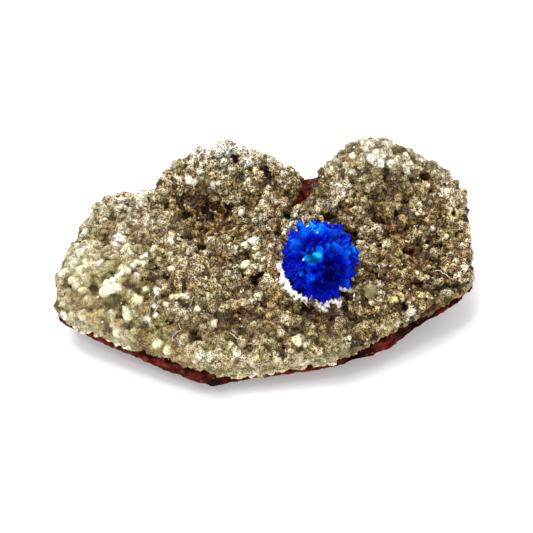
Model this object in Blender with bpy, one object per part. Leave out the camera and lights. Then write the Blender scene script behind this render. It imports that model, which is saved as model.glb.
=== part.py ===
"""A cavansite specimen: a spiny blue ball grown on a knobbly zeolite crust, on a broken slab of basalt.

Frame: metres, +Z up. The slab lies on its back, with the crystals up, and its thin edge faces -Y.
The origin is on the surface it rests on, under the middle of its outline.
Sizes below are in millimetres and are turned to metres where the shapes are made.
"""

import math
import random

import bmesh
import bpy
from mathutils import Matrix, Vector, noise

MM = 0.001

# Slab: the edge of the broken slab seen from above, anticlockwise from its front tip.
SLAB_EDGE = [
    (-7.5, -18.3), (-5.0, -17.4), (0.0, -16.8), (6.5, -16.2), (11.5, -15.4), (15.5, -14.4),
    (18.5, -12.2), (21.0, -10.9), (27.3, -7.0), (32.0, -4.0), (33.0, -2.4), (32.9, 2.6),
    (32.9, 8.0), (32.5, 12.2), (29.1, 14.6), (24.7, 16.6), (18.0, 17.9), (14.4, 17.6),
    (10.8, 15.9), (8.5, 14.6), (6.0, 14.6), (3.0, 15.9), (-1.5, 17.7), (-5.0, 18.3),
    (-11.3, 17.3), (-15.0, 16.2), (-18.8, 12.4), (-22.9, 12.0), (-26.6, 11.0), (-27.5, 9.3),
    (-30.2, 5.2), (-32.5, -0.2), (-33.2, -1.8), (-32.4, -4.8), (-32.2, -7.8), (-29.4, -9.2),
    (-26.0, -11.2), (-18.7, -14.5), (-10.5, -17.7),
]
MEAN_ROCK_LEVEL = 8.9  # height of the rock under the crust, above the origin
BACKWARD_RISE = 0.28  # the slab is a wedge, thicker at the back
CRUST_THICKNESS = 1.9
CRUST_RIM_THICKNESS = 1.0  # the crust rolls down to this where it ends at the broken edge
CRUST_ROLL = 2.6  # width of that rounded rim
CONTACT_GAP = 0.3  # the clear gap between touching pieces
ROCK_ROUGHNESS = 0.35  # height of the rock's own unevenness
ROCK_ROUGHNESS_PITCH = 2.2  # and its spacing
BLOCK_SPAN = (70.0, 40.0)  # across and deep, for the blocks that carry a relief
BLOCK_TOP, BLOCK_FOOT = 26.0, -4.0  # heights that the blocks reach, clear of the slab

# Swells and hollows of the rock, which the crust follows: (x, y), (reach x, reach y), rise.
ROCK_SWELLS = {
    "right back mound": ((18.0, 15.5), (9.0, 6.5), 4.6),
    "left back ridge": ((-7.0, 17.0), (10.5, 5.0), 2.9),
    "notch in the back edge": ((6.6, 15.5), (3.0, 4.5), -0.6),
    "left basin": ((-8.5, 9.0), (8.5, 5.5), -3.4),
    "left shoulder": ((-24.0, -4.0), (7.0, 7.0), 0.8),
    "left end": ((-36.0, 4.0), (10.0, 14.0), -2.8),
    "right hollow": ((23.0, 2.5), (7.0, 5.5), -1.6),
    "right end": ((37.0, 0.0), (9.0, 14.0), -1.4),
    "front tip": ((-11.0, -18.0), (6.0, 4.0), 1.3),
    "front dip": ((3.0, -17.0), (6.0, 4.0), -0.7),
    "front bulge": ((16.0, -14.0), (3.5, 3.0), 0.9),
}
# Where the crust alone is thicker, or missing so that the rock shows.
CRUST_SWELLS = {
    "ridge beside the ball": ((1.0, 1.0), (3.5, 6.0), 1.2),
    "collar before the ball": ((4.4, -7.4), (2.2, 2.2), 0.9),
    "olive hump": ((16.4, -7.4), (2.6, 2.4), 1.5),
    "pale ridge": ((-21.4, -3.4), (2.2, 4.2), 1.3),
    "front belly": ((-3.0, -11.0), (9.0, 4.0), 0.6),
    "right back crown": ((17.5, 13.5), (7.0, 4.0), 0.8),
}
# The bare rib of rock that shows through the crust in the back notch.
RIB_START, RIB_END = (5.0, 9.6), (8.2, 15.2)
RIB_REACH = 1.9  # from its crest to where the crust is whole again
RIB_RISE = 1.6
RIB_BARE = 1.5  # how much faster than the crust the knobs die out towards the rib

# Broken underside: each fracture face as (compass angle from +X, reach at the base, slope), degrees.
FRACTURE_FACES = [
    (-130.0, 13.5, 21.0), (-70.0, 9.5, 21.5), (-25.0, 15.0, 23.5), (8.0, 19.0, 24.0),
    (42.0, 19.0, 30.0), (72.0, 9.0, 38.0), (108.0, 10.5, 35.0), (142.0, 17.0, 30.0),
    (180.0, 20.0, 23.0), (60.0, 18.6, 66.0), (98.0, 14.4, 64.0), (128.0, 18.2, 68.0),
    (24.0, 27.5, 64.0), (166.0, 26.5, 62.0),
]

# Knobs of the crust.
KNOB_SEED = 11
KNOB_COUNT = 300
KNOB_TRIES = 12000
KNOB_RADIUS = (1.3, 2.5)
KNOB_SPACING = 0.6  # times the sum of two knobs' radii, the least distance between their middles
KNOB_FLATTENING = 0.78
NAMED_KNOBS = [
    ((-23.3, -6.0), 2.3), ((-21.9, -3.9), 1.9), ((-20.3, -1.6), 1.8), ((-18.9, 0.6), 1.5),
    ((-17.6, -7.0), 1.5), ((-17.8, -4.6), 1.2), ((-31.0, -2.6), 1.8), ((-28.2, -5.6), 1.9),
    ((5.2, -13.6), 1.6), ((16.4, -7.4), 2.9), ((-2.6, -0.2), 1.3), ((29.2, 8.6), 1.6),
    ((3.4, -5.6), 1.3), ((5.3, -8.1), 1.3), ((8.6, -9.5), 1.2), ((17.4, 13.4), 2.6), ((13.0, 13.2), 2.2),
    ((22.6, 12.4), 2.3), ((-12.5, 12.8), 1.8),
]
PITS = {  # small holes between the knobs: (x, y), radius, depth
    "deep hole in the basin": ((-9.2, 12.6), 1.2, 2.4),
    "pit on the left back ridge": ((-5.2, 16.0), 1.1, 1.5),
    "pit beside the notch": ((-0.4, 14.9), 1.2, 1.5),
    "gap behind the ball": ((12.6, 4.6), 1.5, 1.4),
}
CRUST_STEP = 0.96  # grid of the knobbly top
ROCK_STEP = 2.2  # grid of the rock's top
CRUST_EDGE_INSET = (0.15, 0.85)  # how far the crust stops short of the rock's edge
CRUST_EDGE_STEP = 1.6
CRUST_EDGE_PITCH = 1.7  # spacing of that unevenness

# Cavansite ball.
BALL_CENTRE = (8.4, -2.7, 13.8)
BALL_CORE_RADIUS = 4.4
BALL_TIP_RADIUS = (5.3, 6.5)
BALL_TIP_SHAPE = (0.5, 0.16)  # a blade's tip against its foot, the long way and the thin way
BALL_SEAT_DEPTH = 3.9  # from the centre down to the flat where it grew on the crust
BALL_DIVISIONS = 5  # blades along each side of the cube that the ball is rounded from
BALL_SEED = 5
BALL_UNEVENNESS = 0.07  # how far, against the radius, a blade's foot strays from an even spread
BALL_LEAN = 0.3  # how far a tip leans along its blade
BALL_TURN = (0.6, Vector((1.0, 2.0, 3.0)))  # turns the even spread out of line with the slab
SEAT_CLEARANCE = 0.3
SEAT_SIDES = 28

ROCK_COLOUR = (0.155, 0.045, 0.026, 1.0)
CRUST_COLOUR = (0.29, 0.235, 0.135, 1.0)
BALL_COLOUR = (0.0, 0.018, 0.42, 1.0)


def clear_scene():
    for obj in list(bpy.data.objects):
        bpy.data.objects.remove(obj, do_unlink=True)


def make_collection(name):
    collection = bpy.data.collections.new(name)
    bpy.context.scene.collection.children.link(collection)
    return collection


def make_material(name, colour, roughness):
    material = bpy.data.materials.new(name)
    material.use_nodes = True
    shader = material.node_tree.nodes["Principled BSDF"]
    shader.inputs["Base Color"].default_value = colour
    shader.inputs["Roughness"].default_value = roughness
    shader.inputs["Metallic"].default_value = 0.0
    return material


def place(obj, collection, material=None):
    """Moves an object into its collection and gives it its material."""
    for user in list(obj.users_collection):
        user.objects.unlink(obj)
    collection.objects.link(obj)
    if material:
        obj.data.materials.clear()
        obj.data.materials.append(material)
    return obj


def as_cutter(obj):
    obj.hide_render = True
    obj.display_type = "WIRE"
    return obj


def swell(x, y, swells):
    """The summed height of smooth swells at a point."""
    total = 0.0
    for (cx, cy), (rx, ry), rise in swells.values():
        total += rise * math.exp(-(((x - cx) / rx) ** 2) - ((y - cy) / ry) ** 2)
    return total


def distance_to_line(point, start, end):
    """The distance in plan from a point to the nearest place on a straight line."""
    along = (point - start).dot(end - start) / (end - start).length_squared
    return (point - start.lerp(end, min(1.0, max(0.0, along)))).length


def rib(x, y):
    """1 along the crest of the bare rock rib, falling to 0 at its reach to either side."""
    away = distance_to_line(Vector((x, y)), Vector(RIB_START), Vector(RIB_END))
    return max(0.0, 1.0 - away / RIB_REACH)


def depth_inside(x, y):
    """How far a point is inside the slab's edge."""
    point, corners = Vector((x, y)), [Vector(p) for p in SLAB_EDGE]
    sides = zip(corners, corners[1:] + corners[:1])
    return min(distance_to_line(point, start, end) for start, end in sides) if inside_edge(x, y) else 0.0


def ground_level(x, y):
    return MEAN_ROCK_LEVEL + BACKWARD_RISE * y + swell(x, y, ROCK_SWELLS)


def unevenness(x, y, pitch):
    """A smooth irregular value between about -1 and 1."""
    return noise.noise(Vector((x / pitch, y / pitch, pitch)))


def rock_level(x, y):
    rough = ROCK_ROUGHNESS * unevenness(x, y, ROCK_ROUGHNESS_PITCH)
    return ground_level(x, y) + rough + RIB_RISE * rib(x, y)


def crust_level(x, y):
    """The crust between its knobs: full inside, rolled down at the rim, and gone from the rib."""
    roll = 1.0 - min(1.0, depth_inside(x, y) / CRUST_ROLL)
    full = CRUST_THICKNESS + swell(x, y, CRUST_SWELLS)
    thickness = CRUST_RIM_THICKNESS + (full - CRUST_RIM_THICKNESS) * (1.0 - roll * roll)
    return ground_level(x, y) + thickness * (1.0 - rib(x, y)) - pit_depth(x, y)


def pit_depth(x, y):
    depth = 0.0
    for (cx, cy), radius, most in PITS.values():
        depth = max(depth, most * (1.0 - (math.hypot(x - cx, y - cy) / radius) ** 2))
    return depth


def inside_edge(x, y):
    """Whether a point is inside the slab's edge, by counting the sides that a line to +X crosses."""
    inside = False
    for (x0, y0), (x1, y1) in zip(SLAB_EDGE, SLAB_EDGE[1:] + SLAB_EDGE[:1]):
        if (y0 > y) != (y1 > y) and x < x0 + (y - y0) / (y1 - y0) * (x1 - x0):
            inside = not inside
    return inside


def scatter_knobs():
    """Named knobs first, then a seeded scatter that keeps its distance from those placed before."""
    rng = random.Random(KNOB_SEED)
    knobs = list(NAMED_KNOBS)
    ball = Vector(BALL_CENTRE[:2])
    xs, ys = zip(*SLAB_EDGE)
    for _ in range(KNOB_TRIES):
        if len(knobs) >= KNOB_COUNT:
            break
        x, y = rng.uniform(min(xs), max(xs)), rng.uniform(min(ys), max(ys))
        radius = rng.triangular(*KNOB_RADIUS, KNOB_RADIUS[0])
        if not inside_edge(x, y) or (Vector((x, y)) - ball).length < BALL_CORE_RADIUS:
            continue
        if all(math.dist((x, y), at) > KNOB_SPACING * (radius + r) for at, r in knobs):
            knobs.append(((x, y), radius))
    return knobs


def knob_height(x, y, knobs):
    """Height of the tallest knob at a point. A knob is a flattened dome, and none is on the rib."""
    height = 0.0
    for (cx, cy), radius in knobs:
        away = math.hypot(x - cx, y - cy)
        if away < radius:
            height = max(height, KNOB_FLATTENING * math.sqrt(radius * radius - away * away))
    if pit_depth(x, y) > 0.0:
        return 0.0
    return height * (1.0 - min(1.0, RIB_BARE * rib(x, y)))


def terrain_block(name, step, level, rise=0.0):
    """A closed block whose top follows level(x, y), on a grid of this step, and whose foot is flat."""
    across, deep = BLOCK_SPAN
    bpy.ops.mesh.primitive_grid_add(
        x_subdivisions=round(across / step), y_subdivisions=round(deep / step), size=1.0
    )
    obj = bpy.context.object
    obj.name = obj.data.name = name
    mesh = bmesh.new()
    mesh.from_mesh(obj.data)
    for vert in mesh.verts:
        x, y = vert.co.x * across, vert.co.y * deep
        vert.co = Vector((x, y, level(x, y) + rise)) * MM
    foot = bmesh.ops.extrude_face_region(mesh, geom=mesh.faces[:])
    for vert in foot["geom"]:
        if isinstance(vert, bmesh.types.BMVert):
            vert.co.z = BLOCK_FOOT * MM
    bmesh.ops.triangulate(mesh, faces=mesh.faces[:], quad_method="SHORT_EDGE")
    bmesh.ops.recalc_face_normals(mesh, faces=mesh.faces[:])
    mesh.to_mesh(obj.data)
    mesh.free()
    return obj


def edge_prism(name, edge, low, high):
    """The upright prism on a closed outline, from an extruded flat curve made into a mesh."""
    curve = bpy.data.curves.new(name + "_outline", "CURVE")
    curve.dimensions = "2D"
    curve.fill_mode = "BOTH"
    curve.extrude = 0.5 * (high - low) * MM
    line = curve.splines.new("POLY")
    line.points.add(len(edge) - 1)
    for point, (x, y) in zip(line.points, edge):
        point.co = (x * MM, y * MM, 0.0, 1.0)
    line.use_cyclic_u = True
    outline = bpy.data.objects.new(name + "_outline", curve)
    bpy.context.scene.collection.objects.link(outline)
    bpy.context.view_layer.update()
    graph = bpy.context.evaluated_depsgraph_get()
    solid = bpy.data.meshes.new_from_object(outline.evaluated_get(graph))
    bpy.data.objects.remove(outline, do_unlink=True)
    mesh = bmesh.new()
    mesh.from_mesh(solid)
    bmesh.ops.remove_doubles(mesh, verts=mesh.verts[:], dist=0.01 * MM)
    bmesh.ops.translate(mesh, verts=mesh.verts[:], vec=(0.0, 0.0, 0.5 * (high + low) * MM))
    bmesh.ops.dissolve_limit(mesh, angle_limit=0.01, verts=mesh.verts[:], edges=mesh.edges[:])
    bmesh.ops.recalc_face_normals(mesh, faces=mesh.faces[:])
    mesh.to_mesh(solid)
    mesh.free()
    solid.name = name
    obj = bpy.data.objects.new(name, solid)
    bpy.context.scene.collection.objects.link(obj)
    return obj


def crust_edge():
    """The slab's edge walked in short steps and drawn in by an uneven amount, as a broken crust is."""
    corners = [Vector(p) for p in SLAB_EDGE]
    edge = []
    for start, end in zip(corners, corners[1:] + corners[:1]):
        inward = Vector((start.y - end.y, end.x - start.x)).normalized()
        steps = max(1, round((end - start).length / CRUST_EDGE_STEP))
        for i in range(steps):
            point = start.lerp(end, (i + 0.5) / steps)
            share = 0.5 + 0.5 * unevenness(point.x, point.y, CRUST_EDGE_PITCH)
            least, most = CRUST_EDGE_INSET
            edge.append(tuple(point + inward * (least + (most - least) * share)))
    return edge


def add_boolean(obj, cutter, operation):
    modifier = obj.modifiers.new(f"{operation.lower()} {cutter.name}", "BOOLEAN")
    modifier.operation = operation
    modifier.object = cutter


def break_underside(obj):
    """Cuts the fracture faces. Each leans out from a line at its reach on the base."""
    mesh = bmesh.new()
    mesh.from_mesh(obj.data)
    for compass, reach, slope in FRACTURE_FACES:
        outward = Vector((math.cos(math.radians(compass)), math.sin(math.radians(compass)), 0.0))
        tilt = math.radians(slope)
        normal = outward * math.sin(tilt) - Vector((0.0, 0.0, math.cos(tilt)))
        cut = bmesh.ops.bisect_plane(
            mesh,
            geom=mesh.verts[:] + mesh.edges[:] + mesh.faces[:],
            plane_co=outward * reach * MM,
            plane_no=normal,
            clear_outer=True,
        )
        rim = [e for e in cut["geom_cut"] if isinstance(e, bmesh.types.BMEdge)]
        bmesh.ops.edgeloop_fill(mesh, edges=rim)
    bmesh.ops.recalc_face_normals(mesh, faces=mesh.faces[:])
    mesh.to_mesh(obj.data)
    mesh.free()


def make_rock(parts, cutters, material):
    """The basalt: the broken slab, with its top cut to the rock's own relief."""
    rock = edge_prism("basalt_slab", SLAB_EDGE, 0.0, BLOCK_TOP)
    break_underside(rock)
    place(rock, parts, material)
    relief = as_cutter(terrain_block("rock_relief", ROCK_STEP, rock_level))
    place(relief, cutters)
    add_boolean(rock, relief, "INTERSECT")


def make_seat(cutters):
    """The ball's shape grown by a clearance, which hollows the seat for it in the crust."""
    radius = BALL_TIP_RADIUS[1] + SEAT_CLEARANCE
    bpy.ops.mesh.primitive_uv_sphere_add(
        segments=SEAT_SIDES, ring_count=SEAT_SIDES // 2, radius=radius * MM,
        location=Vector(BALL_CENTRE) * MM,
    )
    seat = bpy.context.object
    seat.name = seat.data.name = "ball_seat"
    seat.data.transform(Matrix.Translation(seat.location))
    seat.location = (0.0, 0.0, 0.0)
    cut_flat(seat, BALL_CENTRE[2] - BALL_SEAT_DEPTH - SEAT_CLEARANCE)
    return place(as_cutter(seat), cutters)


def cut_flat(obj, height):
    """Cuts off all that is under a height, and closes the cut."""
    mesh = bmesh.new()
    mesh.from_mesh(obj.data)
    cut = bmesh.ops.bisect_plane(
        mesh,
        geom=mesh.verts[:] + mesh.edges[:] + mesh.faces[:],
        plane_co=(0.0, 0.0, height * MM),
        plane_no=(0.0, 0.0, -1.0),
        clear_outer=True,
    )
    rim = [e for e in cut["geom_cut"] if isinstance(e, bmesh.types.BMEdge)]
    bmesh.ops.edgeloop_fill(mesh, edges=rim)
    bmesh.ops.recalc_face_normals(mesh, faces=mesh.faces[:])
    mesh.to_mesh(obj.data)
    mesh.free()


def make_crust(parts, cutters, material):
    """The zeolite crust: knobbly above, and lying on the rock's relief with the contact gap."""
    knobs = scatter_knobs()
    crust = terrain_block(
        "zeolite_crust", CRUST_STEP, lambda x, y: crust_level(x, y) + knob_height(x, y, knobs)
    )
    place(crust, parts, material)
    edge = as_cutter(edge_prism("crust_edge", crust_edge(), 0.0, BLOCK_TOP))
    bed = as_cutter(terrain_block("crust_bed", ROCK_STEP, rock_level, CONTACT_GAP))
    add_boolean(crust, place(edge, cutters), "INTERSECT")
    add_boolean(crust, place(bed, cutters), "DIFFERENCE")
    add_boolean(crust, make_seat(cutters), "DIFFERENCE")


def round_cube(divisions, radius, rng):
    """A cube divided into squares, its corners moved a little at random and set on a sphere."""
    bpy.ops.mesh.primitive_cube_add(size=2.0)
    obj = bpy.context.object
    mesh = bmesh.new()
    mesh.from_mesh(obj.data)
    bmesh.ops.subdivide_edges(mesh, edges=mesh.edges[:], cuts=divisions - 1, use_grid_fill=True)
    for vert in mesh.verts:
        spread = Vector([math.tan(c * math.pi / 4.0) for c in vert.co]).normalized()
        stray = Vector([rng.uniform(-BALL_UNEVENNESS, BALL_UNEVENNESS) for _ in range(3)])
        vert.co = (spread + stray).normalized() * radius * MM
    return obj, mesh


def raise_blades(mesh, rng):
    """Draws every square out to a chisel tip that is long one way and thin the other."""
    for base in mesh.faces[:]:
        raised = bmesh.ops.extrude_discrete_faces(mesh, faces=[base])["faces"][0]
        centre = raised.calc_center_median()
        outward = centre.normalized()
        long_way = (raised.verts[1].co - raised.verts[0].co).normalized()
        if rng.random() < 0.5:
            long_way = (raised.verts[2].co - raised.verts[1].co).normalized()
        thin_way = outward.cross(long_way)
        reach = rng.uniform(*BALL_TIP_RADIUS) * MM
        lean = long_way * rng.uniform(-BALL_LEAN, BALL_LEAN) * MM
        for vert in raised.verts:
            off = vert.co - centre
            vert.co = (
                outward * reach + lean
                + long_way * off.dot(long_way) * BALL_TIP_SHAPE[0]
                + thin_way * off.dot(thin_way) * BALL_TIP_SHAPE[1]
            )


def make_ball(parts, material):
    """The cavansite ball: a core with a blade drawn out of every square, flat where it grew."""
    rng = random.Random(BALL_SEED)
    ball, mesh = round_cube(BALL_DIVISIONS, BALL_CORE_RADIUS, rng)
    raise_blades(mesh, rng)
    angle, axis = BALL_TURN
    mesh.transform(Matrix.Rotation(angle, 4, axis))
    mesh.transform(Matrix.Translation(Vector(BALL_CENTRE) * MM))
    bmesh.ops.triangulate(mesh, faces=mesh.faces[:])
    mesh.to_mesh(ball.data)
    mesh.free()
    ball.name = ball.data.name = "cavansite_ball"
    cut_flat(ball, BALL_CENTRE[2] - BALL_SEAT_DEPTH)
    place(ball, parts, material)


def stand_on_origin(parts, cutters):
    """Moves the whole specimen sideways, to have the origin under the middle of its outline."""
    bpy.context.view_layer.update()
    graph = bpy.context.evaluated_depsgraph_get()
    corners = []
    for obj in parts.objects:
        shape = obj.evaluated_get(graph)
        corners += [shape.matrix_world @ Vector(corner) for corner in shape.bound_box]
    xs, ys = [c.x for c in corners], [c.y for c in corners]
    middle = Vector((0.5 * (min(xs) + max(xs)), 0.5 * (min(ys) + max(ys)), 0.0))
    for obj in list(parts.objects) + list(cutters.objects):
        obj.location -= middle


def main():
    clear_scene()
    parts = make_collection("cavansite_specimen")
    cutters = make_collection("cutters")
    make_rock(parts, cutters, make_material("basalt", ROCK_COLOUR, 0.85))
    make_crust(parts, cutters, make_material("zeolite", CRUST_COLOUR, 0.45))
    make_ball(parts, make_material("cavansite", BALL_COLOUR, 0.3))
    stand_on_origin(parts, cutters)


main()
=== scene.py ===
# Cavansite specimen: a blue crystal ball on a sugary zeolite crust over red-brown basalt.
# Sizes in the settings are in millimetres. The scene itself is in metres.
import math

import bmesh
import bpy
import numpy as np
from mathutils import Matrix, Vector, noise
from mathutils.bvhtree import BVHTree
from mathutils.kdtree import KDTree


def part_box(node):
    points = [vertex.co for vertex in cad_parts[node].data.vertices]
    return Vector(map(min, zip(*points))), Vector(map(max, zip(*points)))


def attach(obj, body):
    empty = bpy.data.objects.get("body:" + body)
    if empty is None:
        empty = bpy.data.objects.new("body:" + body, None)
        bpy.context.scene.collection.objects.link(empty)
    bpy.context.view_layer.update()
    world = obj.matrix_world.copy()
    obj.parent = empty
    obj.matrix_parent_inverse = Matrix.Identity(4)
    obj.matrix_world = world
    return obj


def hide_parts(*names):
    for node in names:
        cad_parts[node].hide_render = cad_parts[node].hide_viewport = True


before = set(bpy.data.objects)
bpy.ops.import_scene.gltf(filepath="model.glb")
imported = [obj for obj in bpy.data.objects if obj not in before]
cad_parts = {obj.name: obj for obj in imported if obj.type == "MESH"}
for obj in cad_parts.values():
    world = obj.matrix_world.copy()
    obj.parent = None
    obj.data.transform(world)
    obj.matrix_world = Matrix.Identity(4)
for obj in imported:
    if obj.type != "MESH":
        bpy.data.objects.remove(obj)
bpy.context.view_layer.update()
mm = 0.001
print("frame loaded")

# Camera: looks down on the crystal side from the front, as the photograph does
cameraView = {"elevation": 48.0, "lens": 90.0, "sensor": 36.0, "distance": 210.5, "aim": (0.11, 1.1, 8.0)}
photoSize = 533.0  # width and height of the photograph in pixels
pixelSize = cameraView["distance"] * cameraView["sensor"] / cameraView["lens"] / photoSize  # in millimetres
tilt = math.radians(cameraView["elevation"])
away = Vector((0.0, -math.cos(tilt), math.sin(tilt)))
cameraPlace = Vector(cameraView["aim"]) + away * cameraView["distance"]


def newObject(name, data):
    obj = bpy.data.objects.new(name, data)
    bpy.context.scene.collection.objects.link(obj)
    return obj


def makeCamera():
    data = bpy.data.cameras.new("camera")
    data.lens = cameraView["lens"]
    data.clip_start = 0.01
    camera = newObject("camera", data)
    camera.location = cameraPlace * mm
    camera.rotation_euler = (math.radians(90.0) - tilt, 0.0, 0.0)
    bpy.context.scene.camera = camera


makeCamera()


def pixelRay(px, py):  # the ray through a pixel of the photograph, in millimetres
    up = Vector((0.0, math.sin(tilt), math.cos(tilt)))
    scale = cameraView["sensor"] / cameraView["lens"] / photoSize
    across = Vector((1.0, 0.0, 0.0)) * (px + 0.5 - photoSize / 2.0) * scale
    direction = -away + across - up * (py + 0.5 - photoSize / 2.0) * scale
    return cameraPlace, direction.normalized()


# Small helpers for selecting, copying and joining

def selectOnly(obj):
    bpy.ops.object.select_all(action="DESELECT")
    obj.select_set(True)
    bpy.context.view_layer.objects.active = obj


def applyModifiers(obj):
    selectOnly(obj)
    for modifier in list(obj.modifiers):
        bpy.ops.object.modifier_apply(modifier=modifier.name)


def mergedCopy(nodeName, pieceName):  # a CAD node's mesh is loose triangles, so the copy is welded
    obj = newObject(pieceName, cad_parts[nodeName].data.copy())
    obj.data.materials.clear()
    selectOnly(obj)
    bpy.ops.object.mode_set(mode="EDIT")
    bpy.ops.mesh.select_all(action="SELECT")
    bpy.ops.mesh.remove_doubles(threshold=0.000001)
    bpy.ops.mesh.quads_convert_to_tris()
    bpy.ops.object.mode_set(mode="OBJECT")
    return obj


def meshArrays(obj):
    mesh = obj.data
    points = np.empty(len(mesh.vertices) * 3)
    mesh.vertices.foreach_get("co", points)
    corners = np.empty(len(mesh.loops), dtype=np.int64)
    mesh.loops.foreach_get("vertex_index", corners)
    return points.reshape(-1, 3), corners.reshape(-1, 3)


def pointsAndNormals(obj):
    count = len(obj.data.vertices)
    points, normals = np.empty(count * 3), np.empty(count * 3)
    obj.data.vertices.foreach_get("co", points)
    obj.data.vertices.foreach_get("normal", normals)
    return points.reshape(-1, 3), normals.reshape(-1, 3)


def setTint(mesh, colours, speckle=1.0):  # the fourth value is how much of the fine speckle shows
    layer = mesh.attributes.new("tint", "FLOAT_COLOR", "POINT")
    layer.data.foreach_set("color", np.c_[np.clip(colours, 0.0, 1.0), np.full(len(colours), speckle)].ravel())


def setPoints(obj, points, colours, speckle=1.0):
    obj.data.vertices.foreach_set("co", points.ravel())
    setTint(obj.data, colours, speckle)
    obj.data.update()


def voxelRemesh(obj, size):
    remesh = obj.modifiers.new("skin", "REMESH")
    remesh.mode = "VOXEL"
    remesh.voxel_size = size * mm
    applyModifiers(obj)


def neighbourPairs(obj):
    pairs = np.empty(len(obj.data.edges) * 2, dtype=np.int32)
    obj.data.edges.foreach_get("vertices", pairs)
    return pairs.reshape(-1, 2)


def relax(values, pairs, share, rounds):  # moves each point's values towards the mean of its neighbours'
    first, second = pairs.T
    count = np.maximum(np.bincount(pairs.ravel(), minlength=len(values)), 1)
    for turn in range(rounds):
        change = np.empty_like(values)
        for i in range(values.shape[1]):
            total = np.bincount(first, values[second, i], len(values))
            total = total + np.bincount(second, values[first, i], len(values))
            change[:, i] = total / count - values[:, i]
        values = values + share * change
    return values


def noiseAt(places, pitch, shift=0.0):
    move = Vector((shift, 2.0 * shift, -shift))
    return np.array([noise.noise(Vector(place) / pitch + move) for place in places])


def smoothFall(start, end, value):
    t = np.clip((value - start) / (end - start), 0.0, 1.0)
    return t * t * (3.0 - 2.0 * t)


def nearness(gap, reach):  # 1 where the gap is nothing, falling to 0 well beyond the reach
    return np.exp(-(gap / reach) ** 2)


def blend(first, second, share):
    return np.asarray(first) * (1.0 - share) + np.asarray(second) * share


def lengths(rows):
    return np.linalg.norm(rows, axis=1)


def unit(rows):  # each row at length 1
    return rows / np.linalg.norm(rows, axis=1, keepdims=True)


def selectFaces(obj, test):  # in edit mode, selects the faces that pass a test
    bpy.ops.mesh.select_mode(type="FACE")
    bpy.ops.mesh.select_all(action="DESELECT")
    mesh = bmesh.from_edit_mesh(obj.data)
    for face in mesh.faces:
        face.select_set(bool(test(face)))
    bmesh.update_edit_mesh(obj.data)


def takeShape(obj):  # a finished small shape as arrays of points and triangles, and its object removed
    selectOnly(obj)
    bpy.ops.object.transform_apply(location=True, rotation=True, scale=True)
    bpy.ops.object.mode_set(mode="EDIT")
    bpy.ops.mesh.select_all(action="SELECT")
    bpy.ops.mesh.quads_convert_to_tris()
    bpy.ops.mesh.normals_make_consistent(inside=False)
    bpy.ops.object.mode_set(mode="OBJECT")
    shape = meshArrays(obj)
    bpy.data.objects.remove(obj, do_unlink=True)
    return shape


def roughShape(add, **scatter):  # a new shape with its corners moved at random, as arrays
    bpy.ops.object.select_all(action="DESELECT")
    add()
    obj = bpy.context.object
    bpy.ops.object.mode_set(mode="EDIT")
    bpy.ops.mesh.select_all(action="SELECT")
    bpy.ops.transform.vertex_random(**scatter)
    bpy.ops.object.mode_set(mode="OBJECT")
    return takeShape(obj)


def plainWhite(chosen, world, shapePoints):  # a colour for copies that are coloured later
    return np.ones(world.shape)


def randomTurns(count, rng):  # random rotations, one matrix each
    q = rng.normal(size=(count, 4))
    w, x, y, z = unit(q).T
    rows = [
        [1 - 2 * (y * y + z * z), 2 * (x * y - z * w), 2 * (x * z + y * w)],
        [2 * (x * y + z * w), 1 - 2 * (x * x + z * z), 2 * (y * z - x * w)],
        [2 * (x * z - y * w), 2 * (y * z + x * w), 1 - 2 * (x * x + y * y)],
    ]
    return np.array(rows).transpose(2, 0, 1)


def turnsAlong(directions, rolls):  # rotations that take +Z to each direction, with a roll about it
    z = unit(directions)
    side = np.where(np.abs(z[:, 2:3]) < 0.9, [[0.0, 0.0, 1.0]], [[1.0, 0.0, 0.0]])
    x = unit(np.cross(side, z))
    y = np.cross(z, x)
    c, s = np.cos(rolls)[:, None], np.sin(rolls)[:, None]
    return np.stack([x * c + y * s, y * c - x * s, z], axis=2)


def joinCopies(name, shapes, kinds, places, turns, sizes, colourOf, speckle=1.0):
    # One mesh from many turned and sized copies. colourOf gives each point's colour.
    points, faces, colours, start = [], [], [], 0
    for kind, (shapePoints, shapeFaces) in enumerate(shapes):
        chosen = np.nonzero(kinds == kind)[0]
        if not len(chosen):
            continue
        local = shapePoints[None] * sizes[chosen][:, None, :]
        world = places[chosen][:, None, :] + np.einsum("kij,knj->kni", turns[chosen], local)
        offsets = start + np.arange(len(chosen)) * len(shapePoints)
        faces.append((shapeFaces[None] + offsets[:, None, None]).reshape(-1, 3))
        colours.append(colourOf(chosen, world, shapePoints).reshape(-1, 3))
        points.append(world.reshape(-1, 3))
        start += world.shape[0] * world.shape[1]
    return meshFromArrays(name, np.concatenate(points), np.concatenate(faces), np.concatenate(colours), speckle)


def meshFromArrays(name, points, faces, colours, speckle=1.0):  # the faces are all triangles or all quads
    mesh = bpy.data.meshes.new(name)
    mesh.vertices.add(len(points))
    mesh.vertices.foreach_set("co", points.ravel())
    mesh.loops.add(faces.size)
    mesh.loops.foreach_set("vertex_index", faces.ravel().astype(np.int32))
    mesh.polygons.add(len(faces))
    mesh.polygons.foreach_set("loop_start", np.arange(0, faces.size, faces.shape[1], dtype=np.int32))
    mesh.update(calc_edges=True)
    setTint(mesh, colours, speckle)
    obj = newObject(name, mesh)
    print(name, len(faces) * (faces.shape[1] - 2), "triangles")
    return obj


def finishPiece(obj, material, slotName, *nodes):
    obj.data.materials.clear()
    obj.data.materials.append(material)
    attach(obj, "root")
    if nodes:
        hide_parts(*nodes)


# Materials

def newMaterial(name, constants):  # constants: values of the shader's own sockets
    material = bpy.data.materials.new(name)
    material.use_nodes = True
    tree = material.node_tree
    shader = tree.nodes["Principled BSDF"]
    for socket, value in constants.items():
        shader.inputs[socket].default_value = value
    return material, tree, shader


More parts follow.
